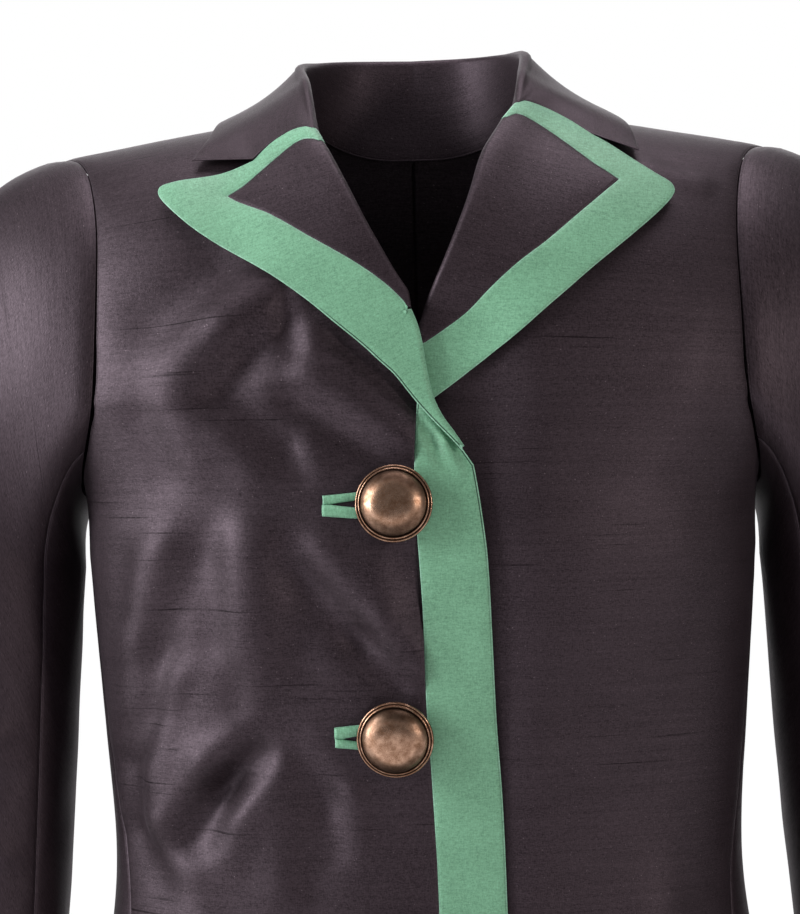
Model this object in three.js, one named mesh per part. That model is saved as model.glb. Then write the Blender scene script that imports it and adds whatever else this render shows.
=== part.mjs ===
// Women's single-breasted jacket, worn and hollow. Millimetres, X to the left arm, front at -Y, +Z up.
// Every cloth piece is a closed wall made from its visible face; neighbours stop a seam gap apart.
import * as THREE from 'three';

// ---- driving sizes -------------------------------------------------------------------------
const WALL = 1.3;          // cloth with its interlining
const SEAM = 0.3;          // space left at a seam
const CHEST = -160;        // level where the panels start to turn over the shoulder
const NECK_LEVEL = 72;     // radius at which the shoulder line stands at zero
const SHOULDER_SLOPE = Math.tan(9.9 * Math.PI / 180);
const SADDLE = 30;         // softening of the two shoulder slopes where they meet
const HEM = -610;
const UNDERARM = -205;
const UNDERLAP = 7.5;      // how far the left front lies below the right one
const LAPEL_LIE = 5.0;     // visible lapel face above the front
const ROLL_LOW = 3.4, ROLL_HIGH = 13; // height of the roll at the break and at the collar
const COLLAR_FOLD = 3.2;   // radius of the collar's folded crest

// body rings: level, half width, front depth, back depth, squareness
const BODY = [
  [-610, 198, 128, 126, 2.3], [-510, 186, 119, 116, 2.35], [-420, 175, 108, 92, 2.4],
  [-340, 178, 114, 98, 2.5], [-245, 184, 128, 108, 2.6], [-205, 187, 126, 111, 2.65],
  [-160, 207, 121, 112, 3.0]];
const [LEVEL, WIDTH, FRONT, BACK, SQUARE] = [0, 1, 2, 3, 4];

// sleeve rings: level, centre x, centre y, half width, half depth
const SLEEVE = [
  [-250, 241, 3, 52, 62], [-330, 244, 3, 50, 58], [-420, 247, -2, 47, 53],
  [-510, 250, -14, 43, 48], [-590, 252, -30, 40, 44]];

// right front: edge, band seam (x, z), hem to top
const EDGE_RIGHT = [[43, -610], [41.5, -520], [39.5, -415], [38.2, -370], [35.8, -330],
  [34.4, -290], [32.6, -245], [30.1, -221], [27.6, -203], [26.4, -196.3]];
const BAND_SEAM = [[7, -610], [5.5, -520], [3.7, -414], [2, -369], [-0.6, -317], [-1.3, -275],
  [-2.8, -244], [-4.4, -214], [-3.9, -188], [-2.1, -163.6], [-1.9, -160]];
const EDGE_LEFT = [[-33, -610], [-31, -520], [-29, -415], [-28, -340], [-26, -260], [-22, -205],
  [-20, -193]];

// lapels, seen from the front: rungs of the green band (inner x, z, outer x, z)
const BAND_RIGHT = [
  [-47.7, -21.2, -51.3, -13.6], [-54.2, -21.6, -58, -14], [-59, -21.5, -63, -14.6],
  [-64.7, -24, -68.9, -17], [-77.4, -34.3, -77.8, -22.9], [-90.2, -44.8, -86.4, -31.4],
  [-95.5, -48.2, -103.5, -37.7], [-98.5, -50, -116.6, -41.5], [-99.8, -50.8, -129.7, -44.4],
  [-99, -51.5, -135.6, -46.4], [-97.5, -52.4, -136.3, -50.5], [-95.2, -53.9, -131, -57.5],
  [-88, -57.4, -119, -68.4], [-77, -62.6, -102.6, -79.3], [-57.9, -74.6, -77, -95.2],
  [-39, -86, -58.2, -109.1], [-26.6, -94.2, -44, -121.3], [-16.7, -102, -33.5, -130.2],
  [-10.8, -107.8, -26.8, -136.2], [-7.6, -111.5, -23.6, -139.4], [-5.7, -114.4, -20.9, -142],
  [-3.85, -114.9, -19.6, -143.2], [-0.9, -122.5, -13.5, -149], [1.5, -132.6, -7, -157.5],
  [3.6, -147, -0.8, -165.4], [6.4, -160, 5.8, -172.9], [10.6, -169.5, 11.2, -178.6],
  [16.6, -178.3, 16.2, -184],
  [21.8, -186.2, 20.6, -189.2]];
const BAND_LEFT = [
  [46.5, -8.7, 53.6, 0.7], [54.5, -8.8, 60, 0], [60, -10.5, 65.5, -1.4],
  [70.7, -17.5, 74, -5], [82.9, -27.4, 84.6, -11.4], [95.1, -37.9, 94.9, -19.6],
  [101.5, -42.5, 104, -25.6], [105.5, -45.6, 116, -34.8], [107.4, -46.9, 128, -43.4],
  [106.2, -48, 136, -49], [104, -49.8, 136.9, -54.2], [100, -53.1, 130, -62.6],
  [93.5, -58.5, 118.7, -72.5], [79.9, -69.8, 104.9, -83.7], [66.6, -80.9, 91.5, -94.3],
  [53.6, -90.4, 78.3, -105.4], [43.2, -99.3, 65.3, -116.2], [34.1, -108, 55, -125],
  [27.7, -114.6, 47, -131.5], [21.3, -120, 39.6, -137.1], [11.2, -127, 30, -144.5],
  [5.4, -130.8, 23.6, -149.3], [1.8, -133, 19.2, -152.6], [-3.1, -133.4, 13.4, -156.8],
  [-7, -145, 4, -163.5], [-11, -157, -4, -170.6], [-15.5, -171, -11.5, -178.5],
  [-18.5, -182, -16, -185.5]];
// roll lines between the gorge band and the top of the long band
const ROLL_RIGHT = [[-47.7, -21.2], [-43.9, -29.4], [-39.9, -38], [-36, -46.4], [-32.2, -54.6],
  [-28.4, -62.8], [-23.6, -72.2], [-18.4, -82], [-13.4, -91.4], [-8.6, -99.6], [-5.2, -105.2],
  [-4.4, -110], [-3.95, -114.2]];
const ROLL_LEFT = [[46.5, -8.7], [41.5, -17.5], [36, -27], [32.2, -37.2], [29.2, -47.4],
  [25.6, -58], [21.2, -69], [16.6, -80.4], [12, -91.6], [7.6, -102.4], [4.2, -110.4],
  [1.8, -117], [-0.2, -122.8], [-1.8, -128], [-2.9, -132.7]];
const GORGE_RUNGS = 9;     // rungs up to the inner corner of the band

// side seams and armholes: level, front seam angle, back seam angle (from each centre)
const SIDE_SEAM = [[-610, 60, 60], [-510, 62, 60], [-420, 67.5, 65], [-378, 74.5, 67],
  [-340, 77, 69], [-290, 79.5, 71], [-245, 80.5, 73], [-205, 81, 74]];
// armhole: turn over the shoulder (station), front x, back x
const ARMHOLE = [[-205, 185, 181], [-190, 180, 179], [-175, 175.5, 177.2], [-160, 172.5, 176],
  [-140, 170.5, 175.5], [-120, 171, 176], [-100, 177, 180.5], [-85, 185.5, 187], [-70, 197, 197]];
const TOP = -70.15;        // station of the shoulder seam, just short of the full quarter turn
const SIDE_NECK = 68;      // half width of the neck opening
const BACK_NECK = [[0, -102.4], [16, -101.9], [32, -99.4], [46, -94.5], [57, -87.3], [64, -79], [68, TOP]];
const DEGREE = 2.4;        // millimetres of cloth to a degree round the body, near enough for spacing

// collar halves: station along the neck; crest x, y, z; fall edge x and turn; fullness of the fall
const COLLAR_RIGHT = [
  [0, 0, 67, 36, 0, -41, 4], [2, 31, 60, 35.4, 38, -39, 3], [4, 52, 38, 31.5, 73, -31, 0],
  [6, 62.5, 6, 26.5, 101.5, -3, -4], [8, 59.5, -27, 15, 110, 20, -3]];
const COLLAR_LEFT = [
  [0, 0, 67, 36, 0, -41, 4], [2, 31, 60, 36, 38, -39, 3], [4, 52, 38, 34.5, 74, -31, 1],
  [6, 63, 6, 31, 106, -5, -3], [8, 60.5, -27, 17.5, 115, 14, -2]];
const COLLAR_LAST = 8;     // last station of the tables; the rest runs smoothly to the gorge
const COLLAR_LIE = 3.8;    // height of the collar's edge over the shoulder
const COLLAR_TIP_RIGHT = [-119.3, -30.2], COLLAR_TIP_LEFT = [120.4, -29.6];

// buttonholes and buttons: x and z of the button, x of the far end, half height of the lips
const BUTTONS = [[-14.7, -215.6], [-16.5, -336.5], [-16.2, -457.5]];
const BUTTONHOLE_END = [-51.8, -48.2, -48], LIP = 5.5, SLIT = 0.7;
// button profile: radius and height from its back
const BUTTON_PROFILE = [[0, 0.4], [4.6, 0.4], [4.6, 2.6], [17.6, 2.6], [19.5, 3.3], [20, 4.5],
  [19.5, 5.5], [18.9, 5.4], [18.4, 6.2], [17.9, 6.4], [17.4, 6.1], [15.9, 8.7], [13.2, 10.8],
  [9.4, 12.4], [4.8, 13.2], [0, 13.4]];

// ---- small helpers -------------------------------------------------------------------------
const clamp = (v, a, b) => Math.min(b, Math.max(a, v));
const mix = (a, b, t) => a + (b - a) * t;
const soft = t => { const c = clamp(t, 0, 1); return c * c * (3 - 2 * c); };
const add = (p, q, k = 1) => p.map((v, i) => v + q[i] * k);
const sub = (p, q) => p.map((v, i) => v - q[i]);
const unit = p => { const l = Math.hypot(...p) || 1; return p.map(v => v / l); };
const cross = (a, b) => [a[1] * b[2] - a[2] * b[1], a[2] * b[0] - a[0] * b[2], a[0] * b[1] - a[1] * b[0]];
const blend = (p, q, t) => p.map((v, i) => mix(v, q[i], t));

// smooth reading of a table column
function read(table, key, column) {
  const last = table.length - 1;
  let i = 0;
  const up = table[last][0] > table[0][0] ? 1 : -1;
  while (i < last - 1 && up * key > up * table[i + 1][0]) i++;
  const slope = (a, b) => (table[b][column] - table[a][column]) / (table[b][0] - table[a][0]);
  const span = table[i + 1][0] - table[i][0];
  const t = clamp((key - table[i][0]) / span, 0, 1);
  const m0 = i > 0 ? slope(i - 1, i + 1) : slope(i, i + 1);
  const m1 = i + 1 < last ? slope(i, i + 2) : slope(i, i + 1);
  return (2 * t ** 3 - 3 * t * t + 1) * table[i][column] + (t ** 3 - 2 * t * t + t) * span * m0
    + (-2 * t ** 3 + 3 * t * t) * table[i + 1][column] + (t ** 3 - t * t) * span * m1;
}
// resample a polyline to n + 1 points at even distances
function resample(line, n) {
  const run = [0];
  for (let i = 1; i < line.length; i++) run.push(run[i - 1] + Math.hypot(...sub(line[i], line[i - 1])));
  return Array.from({ length: n + 1 }, (_, k) => {
    const d = run[run.length - 1] * k / n;
    let i = 1;
    while (i < line.length - 1 && run[i] < d) i++;
    return blend(line[i - 1], line[i], clamp((d - run[i - 1]) / (run[i] - run[i - 1]), 0, 1));
  });
}
// shift a plane polyline sideways
function shift(line, d) {
  return line.map((p, i) => {
    const t = unit(sub(line[Math.min(i + 1, line.length - 1)], line[Math.max(i - 1, 0)]));
    return [p[0] - t[1] * d, p[1] + t[0] * d];
  });
}

// ---- the body the cloth hangs on -----------------------------------------------------------
const shoulderTop = x => -(Math.hypot(x, SADDLE) - NECK_LEVEL) * SHOULDER_SLOPE;
const ringLevel = s => Math.min(s, CHEST);
// angle from the centre line (0 front, 180 back) and station: below the chest the level, above
// it the turn over the shoulder in degrees (90 is the shoulder seam)
function body(sideSign, angle, station) {
  const z0 = ringLevel(station), n = read(BODY, z0, SQUARE), th = angle * Math.PI / 180;
  const x = read(BODY, z0, WIDTH) * Math.max(0, Math.sin(th)) ** (2 / n);
  const c = Math.cos(th);
  const depth = (c > 0 ? -read(BODY, z0, FRONT) : read(BODY, z0, BACK)) * Math.abs(c) ** (2 / n);
  if (station <= CHEST) return [sideSign * x, depth, station];
  const turn = (station - CHEST) * Math.PI / 180;
  return [sideSign * x, depth * Math.cos(turn), CHEST + (shoulderTop(x) - CHEST) * Math.sin(turn)];
}
function angleAt(x, station) {
  const z0 = ringLevel(station), share = clamp(Math.abs(x) / read(BODY, z0, WIDTH), 0, 1);
  return Math.asin(share ** (read(BODY, z0, SQUARE) / 2)) * 180 / Math.PI;
}
function stationAt(x, z) {
  if (z <= CHEST) return z;
  return CHEST + Math.asin(clamp((z - CHEST) / (shoulderTop(x) - CHEST), 0, 1)) * 180 / Math.PI;
}
// front surface as a height field, with the left front pressed in under the right one
const sunk = (x, z) => UNDERLAP * soft((66 - x) / 42) * soft((-92 - z) / 28);
function frontY(x, z, left) {
  const zz = Math.min(z, shoulderTop(x) - 0.05);
  const s = stationAt(x, zz);
  return body(1, angleAt(x, s), s)[1] + (left ? sunk(x, z) : 0);
}
function frontNormal(x, z, left) {
  const e = 0.6, zt = Math.min(z, shoulderTop(x) - 1.2);
  const dx = (frontY(x + e, zt, left) - frontY(x - e, zt, left)) / (2 * e);
  const dz = (frontY(x, zt + e, left) - frontY(x, zt - e, left)) / (2 * e);
  return unit([dx, -1, dz]);
}
// point of the front that, lifted by this much, is seen at x and z
function under(x, z, lift, left) {
  let [a, b] = [x, z];
  for (let i = 0; i < 12; i++) {
    const n = frontNormal(a, b, left);
    a = mix(a, x - n[0] * lift, 0.7);
    b = mix(b, z - n[2] * lift, 0.7);
  }
  return [a, b];
}
function lifted(x, z, lift, left) {
  const [a, b] = under(x, z, lift, left);
  return add([a, frontY(a, b, left), b], frontNormal(a, b, left), lift);
}

// ---- sheets: visible face as shared points and quads, then a closed wall -------------------
function sheet() {
  const points = [], normals = [], quads = [];
  const point = (p, n) => { normals.push(n); return points.push(p) - 1; };
  const rows = (list) => {
    for (let i = 0; i < list.length - 1; i++) {
      for (let j = 0; j < list[i].length - 1; j++) {
        const q = [list[i][j], list[i][j + 1], list[i + 1][j + 1], list[i + 1][j]];
        if (q.every(v => v !== null && v !== undefined)) quads.push(q);
      }
    }
  };
  return { points, normals, quads, point, rows };
}
function gridSheet(grid) {
  const s = sheet();
  s.rows(grid.map(row => row.map(p => s.point(p))));
  return s;
}
// grid of a surface function, with the surface's own normals so that neighbours agree at a seam
function surfaceSheet(grid, at, e = 0.4) {
  const s = sheet();
  s.rows(grid.map(row => row.map(([a, b]) => {
    const n = cross(sub(at([a + e, b]), at([a - e, b])), sub(at([a, b + e]), at([a, b - e])));
    return s.point(at([a, b]), unit(n));
  })));
  return s;
}
function wall({ points, normals, quads }, facing, thick = WALL) {
  const mean = points.map(() => [0, 0, 0]);
  let side = 0;
  for (const q of quads) {
    for (let k = 0; k < 4; k++) {
      const [a, b, c] = [points[q[(k + 3) % 4]], points[q[k]], points[q[(k + 1) % 4]]];
      const n = unit(cross(sub(c, b), sub(a, b))), f = facing(b);
      mean[q[k]] = add(mean[q[k]], n);
      side += n[0] * f[0] + n[1] * f[1] + n[2] * f[2];
    }
  }
  const sign = Math.sign(side);
  const faces = quads.map(q => (sign < 0 ? [...q].reverse() : q));
  const inner = points.map((p, i) => {
    const own = unit(mean[i]).map(v => v * sign), n = normals[i] || own;
    return add(p, n, -thick * Math.sign(n[0] * own[0] + n[1] * own[1] + n[2] * own[2]));
  });
  const all = [...points, ...inner], m = points.length, tri = [];
  const edges = new Map();
  for (const [a, b, c, d] of faces) {
    const short = Math.hypot(...sub(points[a], points[c])) <= Math.hypot(...sub(points[b], points[d]));
    if (short) tri.push([a, b, c], [a, c, d], [a + m, c + m, b + m], [a + m, d + m, c + m]);
    else tri.push([a, b, d], [b, c, d], [a + m, d + m, b + m], [b + m, d + m, c + m]);
    for (const [u, v] of [[a, b], [b, c], [c, d], [d, a]]) edges.set(u + '_' + v, [u, v]);
  }
  for (const [u, v] of edges.values()) {
    if (!edges.has(v + '_' + u)) tri.push([v, u, u + m], [v, u + m, v + m]);
  }
  const g = new THREE.BufferGeometry();
  g.setAttribute('position', new THREE.Float32BufferAttribute(all.flat(), 3));
  g.setIndex(tri.flat());
  g.computeVertexNormals();
  return g;
}
const steps = list => list.map((_, i) => i / (list.length - 1));
// share of a line's length at each of its points
function shares(line) {
  const run = [0];
  for (let i = 1; i < line.length; i++) run.push(run[i - 1] + Math.hypot(...sub(line[i], line[i - 1])));
  return run.map(d => d / run[line.length - 1]);
}
// patch between four sampled sides; left and right share their count, bottom and top theirs
function coons(left, right, bottom, top, up = steps(left), across = steps(bottom)) {
  const nv = left.length - 1, nu = bottom.length - 1;
  return left.map((_, i) => bottom.map((__, j) => {
    const u = across[j], v = up[i];
    return left[0].map((___, k) => (1 - u) * left[i][k] + u * right[i][k] + (1 - v) * bottom[j][k]
      + v * top[j][k] - ((1 - u) * (1 - v) * left[0][k] + u * (1 - v) * right[0][k]
      + (1 - u) * v * left[nv][k] + u * v * right[nv][k]));
  }));
}
const line = (a, b, n) => Array.from({ length: n + 1 }, (_, i) => blend(a, b, i / n));

// ---- rolls: the half turn between a front and its lapel ------------------------------------
const rollHeight = z => mix(ROLL_LOW, ROLL_HIGH, soft((z + 118) / 100));
const ROLL_TURN = [[0, 0], [0.01, 0.6], [0.28, 0.97], [0.66, 0.98], [0.93, 0.6], [1, 0]];
const rollOut = z => mix(2.9, 3.6, soft((z + 118) / 100));
function lapelLift(x, z, roll) {
  let best = Infinity, level = 0;
  for (let i = 0; i < roll.length - 1; i++) {
    const [a, b] = [roll[i], roll[i + 1]], d = sub(b, a);
    const t = clamp(((x - a[0]) * d[0] + (z - a[1]) * d[1]) / (d[0] ** 2 + d[1] ** 2), 0, 1);
    const p = blend(a, b, t), r = Math.hypot(x - p[0], z - p[1]);
    if (r < best) { best = r; level = p[1]; }
  }
  return LAPEL_LIE + (rollHeight(level) - LAPEL_LIE) * Math.exp(-best / 24);
}
// one point of the roll: where it leaves the front, and its half turn up to the lapel
function rollPoint(roll, i, left, width = Infinity) {
  const [a, b] = [roll[Math.max(i - 1, 0)], roll[Math.min(i + 1, roll.length - 1)]];
  const along = unit(sub(b, a));
  const toNeck = left ? [along[1], -along[0]] : [-along[1], along[0]];
  const [x, z] = roll[i], h = rollHeight(z), out = Math.min(rollOut(z), width * 0.45);
  const inward = toNeck.map(v => v * out);
  const base = under(x - inward[0], z - inward[1], h, left);
  const n = frontNormal(base[0], base[1], left);
  const foot = [base[0], frontY(base[0], base[1], left), base[1]];
  const lean = inward[0] * n[0] + inward[1] * n[2];
  const across = unit(sub([inward[0], 0, inward[1]], n.map(v => v * lean)));
  const turn = [];
  for (const [rise, reach] of ROLL_TURN) {
    turn.push(add(add(foot, n, mix(-WALL, h, rise)), across, out * reach));
  }
  return { base, turn, across, flat: [x - inward[0], z - inward[1]] };
}

function lapel(rungs, rollUpper, left) {
  // the first rung that starts on the roll follows the last one on the seam closely
  const first = rungs.findIndex((r, i) => i > GORGE_RUNGS + 5 && Math.abs(r[1] - rungs[i - 1][1]) < 1);
  const rollAll = [[rungs[0][2], rungs[0][3]], ...rollUpper, ...rungs.slice(first).map(r => [r[0], r[1]])];
  const lift = (x, z) => lapelLift(x, z, rollAll);
  const place = ([x, z]) => lifted(x, z, lift(x, z), left);
  const facing = ([x, z]) => unit(cross(sub(place([x + 0.5, z]), place([x - 0.5, z])),
    sub(place([x, z + 0.5]), place([x, z - 0.5]))));
  const widths = rungs.map(r => Math.hypot(r[0] - r[2], r[1] - r[3]));
  const turns = rollAll.map((_, i) => rollPoint(rollAll, i, left,
    i > rollUpper.length ? widths[first + i - rollUpper.length - 1] : Infinity));
  // dark inner part
  const gorge = rungs.slice(0, GORGE_RUNGS).map(r => [r[0], r[1]]);
  const seam = rungs.slice(GORGE_RUNGS - 1, first).map(r => [r[0], r[1]]);
  const s = left ? 1 : -1;
  const gorgeIn = shift(gorge, s * -SEAM * 1.4), seamIn = shift(seam, s * -SEAM * 1.4);
  const end = GORGE_RUNGS - 1;
  const corner = [(gorgeIn[end][0] + seamIn[0][0]) / 2 - s * 0.25, gorge[end][1] - 0.1];
  gorgeIn[end] = corner;
  seamIn[0] = corner;
  const nv = seam.length - 1;
  const rollSide = [...rollUpper];
  rollSide[0] = blend(rollSide[0], rollSide[1], 0.05);
  seamIn[nv] = blend(seamIn[nv], seamIn[nv - 1], 0.03);
  const rollDark = [[rungs[0][2], rungs[0][3]], ...rollSide, ...rungs.slice(first).map(r => [r[0], r[1]])];
  const darkWidths = rollSide.map((p, i) => Math.hypot(...sub(p, seam[i])));
  const darkTurns = darkWidths.map((width, i) => rollPoint(rollDark, i + 1, left, width));
  const flatSide = darkTurns.map(t => t.flat);
  gorgeIn[0] = flatSide[0];
  const across = shares(gorgeIn), bottom = across.map(t => blend(flatSide[nv], seamIn[nv], t));
  const flat = coons(flatSide, seamIn, gorgeIn, bottom, shares(seamIn), across);
  const dark = sheet();
  dark.rows(flat.map((row, i) => [...darkTurns[i].turn.map(p => dark.point(p)),
    ...row.slice(1).map(p => dark.point(place(p), facing(p)))]));
  // band: rungs round the corner, with the roll at its first rung and along its lower end
  const band = sheet();
  const columns = 3;
  const list = [];
  const head = turns.slice(0, 2);
  for (let k = 0; k < 5; k++) {
    const row = [];
    for (let c = 0; c <= columns; c++) {
      row.push(band.point(blend(head[1].turn[k], head[0].turn[k], c / columns)));
    }
    list.push([null, null, null, null, null, ...row]);
  }
  rungs.forEach((r, i) => {
    const row = [];
    const onRoll = i >= first;
    const t = onRoll ? turns[rollUpper.length + 1 + i - first] : null;
    for (let k = 0; k < 5; k++) row.push(onRoll ? band.point(t.turn[k]) : null);
    const from = onRoll ? t.flat : [r[0], r[1]];
    for (let c = 0; c <= columns; c++) {
      const p = blend(from, [r[2], r[3]], c / columns);
      if (i === 0) row.push(band.point(blend(head[1].turn[5], head[0].turn[5], c / columns)));
      else if (onRoll && c === 0) row.push(band.point(t.turn[5]));
      else row.push(band.point(place(p), facing(p)));
    }
    list.push(row);
  });
  band.rows(list);
  return { dark, band, turns, place, facing, first, upper: rollUpper.length };
}

const right = lapel(BAND_RIGHT, ROLL_RIGHT, false);
const leftLapel = lapel(BAND_LEFT, ROLL_LEFT, true);

// ---- body panels ---------------------------------------------------------------------------
const toAngle = ([x, s]) => [angleAt(x, s) * Math.sign(x || 1), s];
// rows and columns the panels share, so that neighbours bend together along a seam
const SEAM_ROWS = 14, BAND_ROWS = 14, SHOULDER = 7, NECK_FRONT = 5, NECK_BACK = 6;
const CURVE = 1.9;         // narrowest millimetres to a degree at the seams, for their gaps
const seamGap = SEAM / 2 / CURVE;
const toStation = ([x, z]) => [x, stationAt(x, z)];
const ROLL_GAP = SEAM * 1.3;
const pulled = turns => turns.map(({ base, across }) =>
  [base[0] - across[0] * ROLL_GAP, base[1] - across[2] * ROLL_GAP]);
const rollBaseRight = pulled(right.turns), rollBaseLeft = pulled(leftLapel.turns);
const BAND_TOP_RUNG = 24;  // rung of the right band beside which the front band ends
const bandTopTurn = 1 + right.upper + BAND_TOP_RUNG - right.first;
const stretch = ([a, s]) => [a * DEGREE, s];
const torso = ([a, s]) => body(Math.sign(a) || 1, Math.abs(a) / DEGREE, s);
const sunkTorso = p => { const q = torso(p); return [q[0], q[1] + sunk(q[0], q[2]), q[2]]; };

function frontRight() {
  const seam = resample(shift(BAND_SEAM, SEAM / 2).map(toStation).map(toAngle).map(stretch), BAND_ROWS);
  const roll = rollBaseRight.slice(0, bandTopTurn + 1).reverse().map(toStation).map(toAngle).map(stretch);
  return frontPanel([...seam, ...roll, ...neckEdge(roll[roll.length - 1])], -1, torso);
}
function frontLeft() {
  const roll = rollBaseLeft.slice().reverse();
  const edge = resample([...EDGE_LEFT, roll[0]].map(toStation).map(toAngle).map(stretch), BAND_ROWS);
  const up = roll.slice(1).map(toStation).map(toAngle).map(stretch);
  return frontPanel([...edge, ...up, ...neckEdge(up[up.length - 1])], 1, sunkTorso);
}
function neckEdge(from) {
  return resample([from, stretch(toAngle([Math.sign(from[0]) * SIDE_NECK, TOP]))], NECK_FRONT).slice(1);
}
// front: from its inner line (hem to neck) out to the side seam and the armhole
function frontPanel(L, sideSign, at) {
  const rows = L.length - 1, armRows = rows - SEAM_ROWS;
  const seam = SIDE_SEAM.map(r => [sideSign * (r[1] - seamGap), r[0]]);
  const arm = [seam[seam.length - 1], ...ARMHOLE.slice(1).map(r =>
    toAngle([sideSign * (r[1] - SEAM / 2), Math.min(r[0], TOP)]))];
  const R = [...resample(seam.map(stretch), SEAM_ROWS), ...resample(arm.map(stretch), armRows).slice(1)];
  return surfaceSheet(coons(L, R, line(L[0], R[0], SHOULDER), line(L[rows], R[rows], SHOULDER)), at);
}
function frontBand() {
  const L = resample(shift(BAND_SEAM, -SEAM / 2).map(toStation).map(toAngle).map(stretch), BAND_ROWS);
  const roll = rollBaseRight.slice(bandTopTurn).reverse().map(toStation).map(toAngle).map(stretch);
  const edge = resample(EDGE_RIGHT.map(toStation).map(toAngle).map(stretch), BAND_ROWS - roll.length);
  const R = [...edge, ...roll], n = BAND_ROWS;
  L[n] = [L[n][0], L[n][1] - 0.6];
  R[n] = blend(R[n], R[n - 1], 0.07);
  return surfaceSheet(coons(L, R, line(L[0], R[0], 3), line(L[n], R[n], 3)), torso);
}
function backPanel(sideSign) {
  const centreRows = 8, armRows = centreRows + NECK_BACK;
  const seam = SIDE_SEAM.map(r => [r[2] - seamGap, r[0]]);
  const arm = [seam[seam.length - 1], ...ARMHOLE.slice(1).map(r =>
    [angleAt(r[2] - SEAM / 2, Math.min(r[0], TOP)), Math.min(r[0], TOP)])];
  const centre = s => stretch([angleAt(SEAM / 2, s), s]);
  const L = [...line(centre(HEM), centre(UNDERARM), SEAM_ROWS),
    ...line(centre(UNDERARM), centre(BACK_NECK[0][1]), centreRows).slice(1), ...backNeck().slice(1)];
  const R = [...resample(seam.map(stretch), SEAM_ROWS), ...resample(arm.map(stretch), armRows).slice(1)];
  const n = L.length - 1;
  return surfaceSheet(coons(L, R, line(L[0], R[0], SHOULDER), line(L[n], R[n], SHOULDER)),
    ([a, s]) => body(sideSign, 180 - a / DEGREE, s));
}
function backNeck() {
  return resample(BACK_NECK.map(([x, s]) => stretch([angleAt(Math.max(x, SEAM / 2), s), s])), NECK_BACK);
}
function sidePanel(sideSign) {
  const nv = SEAM_ROWS, nu = 4;
  const L = resample(SIDE_SEAM.map(r => stretch([r[1] + seamGap, r[0]])), nv);
  const R = resample(SIDE_SEAM.map(r => stretch([180 - r[2] - seamGap, r[0]])), nv);
  const T = line(L[nv], R[nv], nu).map((p, j) => [p[0], p[1] - 7 * Math.sin(Math.PI * j / nu)]);
  const grid = coons(L, R, line(L[0], R[0], nu), T);
  return surfaceSheet(grid, ([a, s]) => body(sideSign, a / DEGREE, s));
}

// ---- sleeves -------------------------------------------------------------------------------
// armhole loop from the underarm centre up the front, over the shoulder and down the back
function armholeLoop(sideSign, count) {
  const front = ARMHOLE.map(r => body(sideSign, angleAt(r[1], r[0]), r[0]));
  const rear = ARMHOLE.map(r => body(sideSign, 180 - angleAt(r[2], r[0]), r[0]));
  const dip = a => UNDERARM - 7 * Math.sin(Math.PI * (a - 81) / 25); // top edge of the side panel
  const low = [90, 85].map(a => body(sideSign, a, dip(a)));
  const lowBack = [90, 98].map(a => body(sideSign, a, dip(a)));
  const ahead = resample([...low, ...front], count / 2);
  const behind = resample([...lowBack, ...rear], count / 2);
  return [...ahead, ...behind.reverse().slice(1)];
}
function sleeveParts(sideSign) {
  const count = 32, loop = armholeLoop(sideSign, count);
  const centre = [sideSign * 178, 0, -115];
  const ring = (z, f) => {
    const a = 2 * Math.PI * f;
    return [sideSign * (read(SLEEVE, z, 1) - read(SLEEVE, z, 3) * Math.cos(a)),
      read(SLEEVE, z, 2) - read(SLEEVE, z, 4) * Math.sin(a), z];
  };
  const top = SLEEVE[0][0];
  const point = (f, v) => {
    const i = clamp(f * count, 0, count), i0 = Math.min(Math.floor(i), count - 1);
    const a = blend(loop[i0], loop[i0 + 1], i - i0);
    if (v > 1) return ring(mix(top, SLEEVE[SLEEVE.length - 1][0], v - 1), f);
    const b = ring(top, f), high = (1 - Math.cos(2 * Math.PI * f)) / 2;
    const away = unit([0, a[1] - centre[1], a[2] - centre[2]]);
    const t0 = unit([sideSign * 1, away[1] * 0.22 * high, -0.14 * high - (1 - high) * 0.75]);
    const start = add(a, [sideSign, 0, 0], SEAM + 0.5 * (1 - high));
    const reach = Math.hypot(...sub(b, start));
    const m0 = t0.map(c => c * reach * mix(0.55, 0.95, high)), m1 = [0, 0, -reach * mix(0.8, 1.3, high)];
    const [t, t2, t3] = [v, v * v, v * v * v];
    return start.map((c, k) => (2 * t3 - 3 * t2 + 1) * c + (t3 - 2 * t2 + t) * m0[k]
      + (3 * t2 - 2 * t3) * b[k] + (t3 - t2) * m1[k]);
  };
  const rows = [0, 0.1, 0.22, 0.36, 0.52, 0.68, 0.84, 1, 1.16, 1.34, 1.5, 1.66, 1.84, 2];
  const seam = 0.13, g = 0.0005;
  const part = (f0, f1, n) => surfaceSheet(rows.map(v => Array.from({ length: n + 1 }, (_, j) =>
    [mix(f0, f1, j / n), v])), ([f, v]) => point(f - Math.floor(f), Math.max(v, 0)), 0.004);
  return { upper: part(seam + g, 1 - seam - g, 16), under: part(-seam + g, seam - g, 6) };
}

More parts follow.
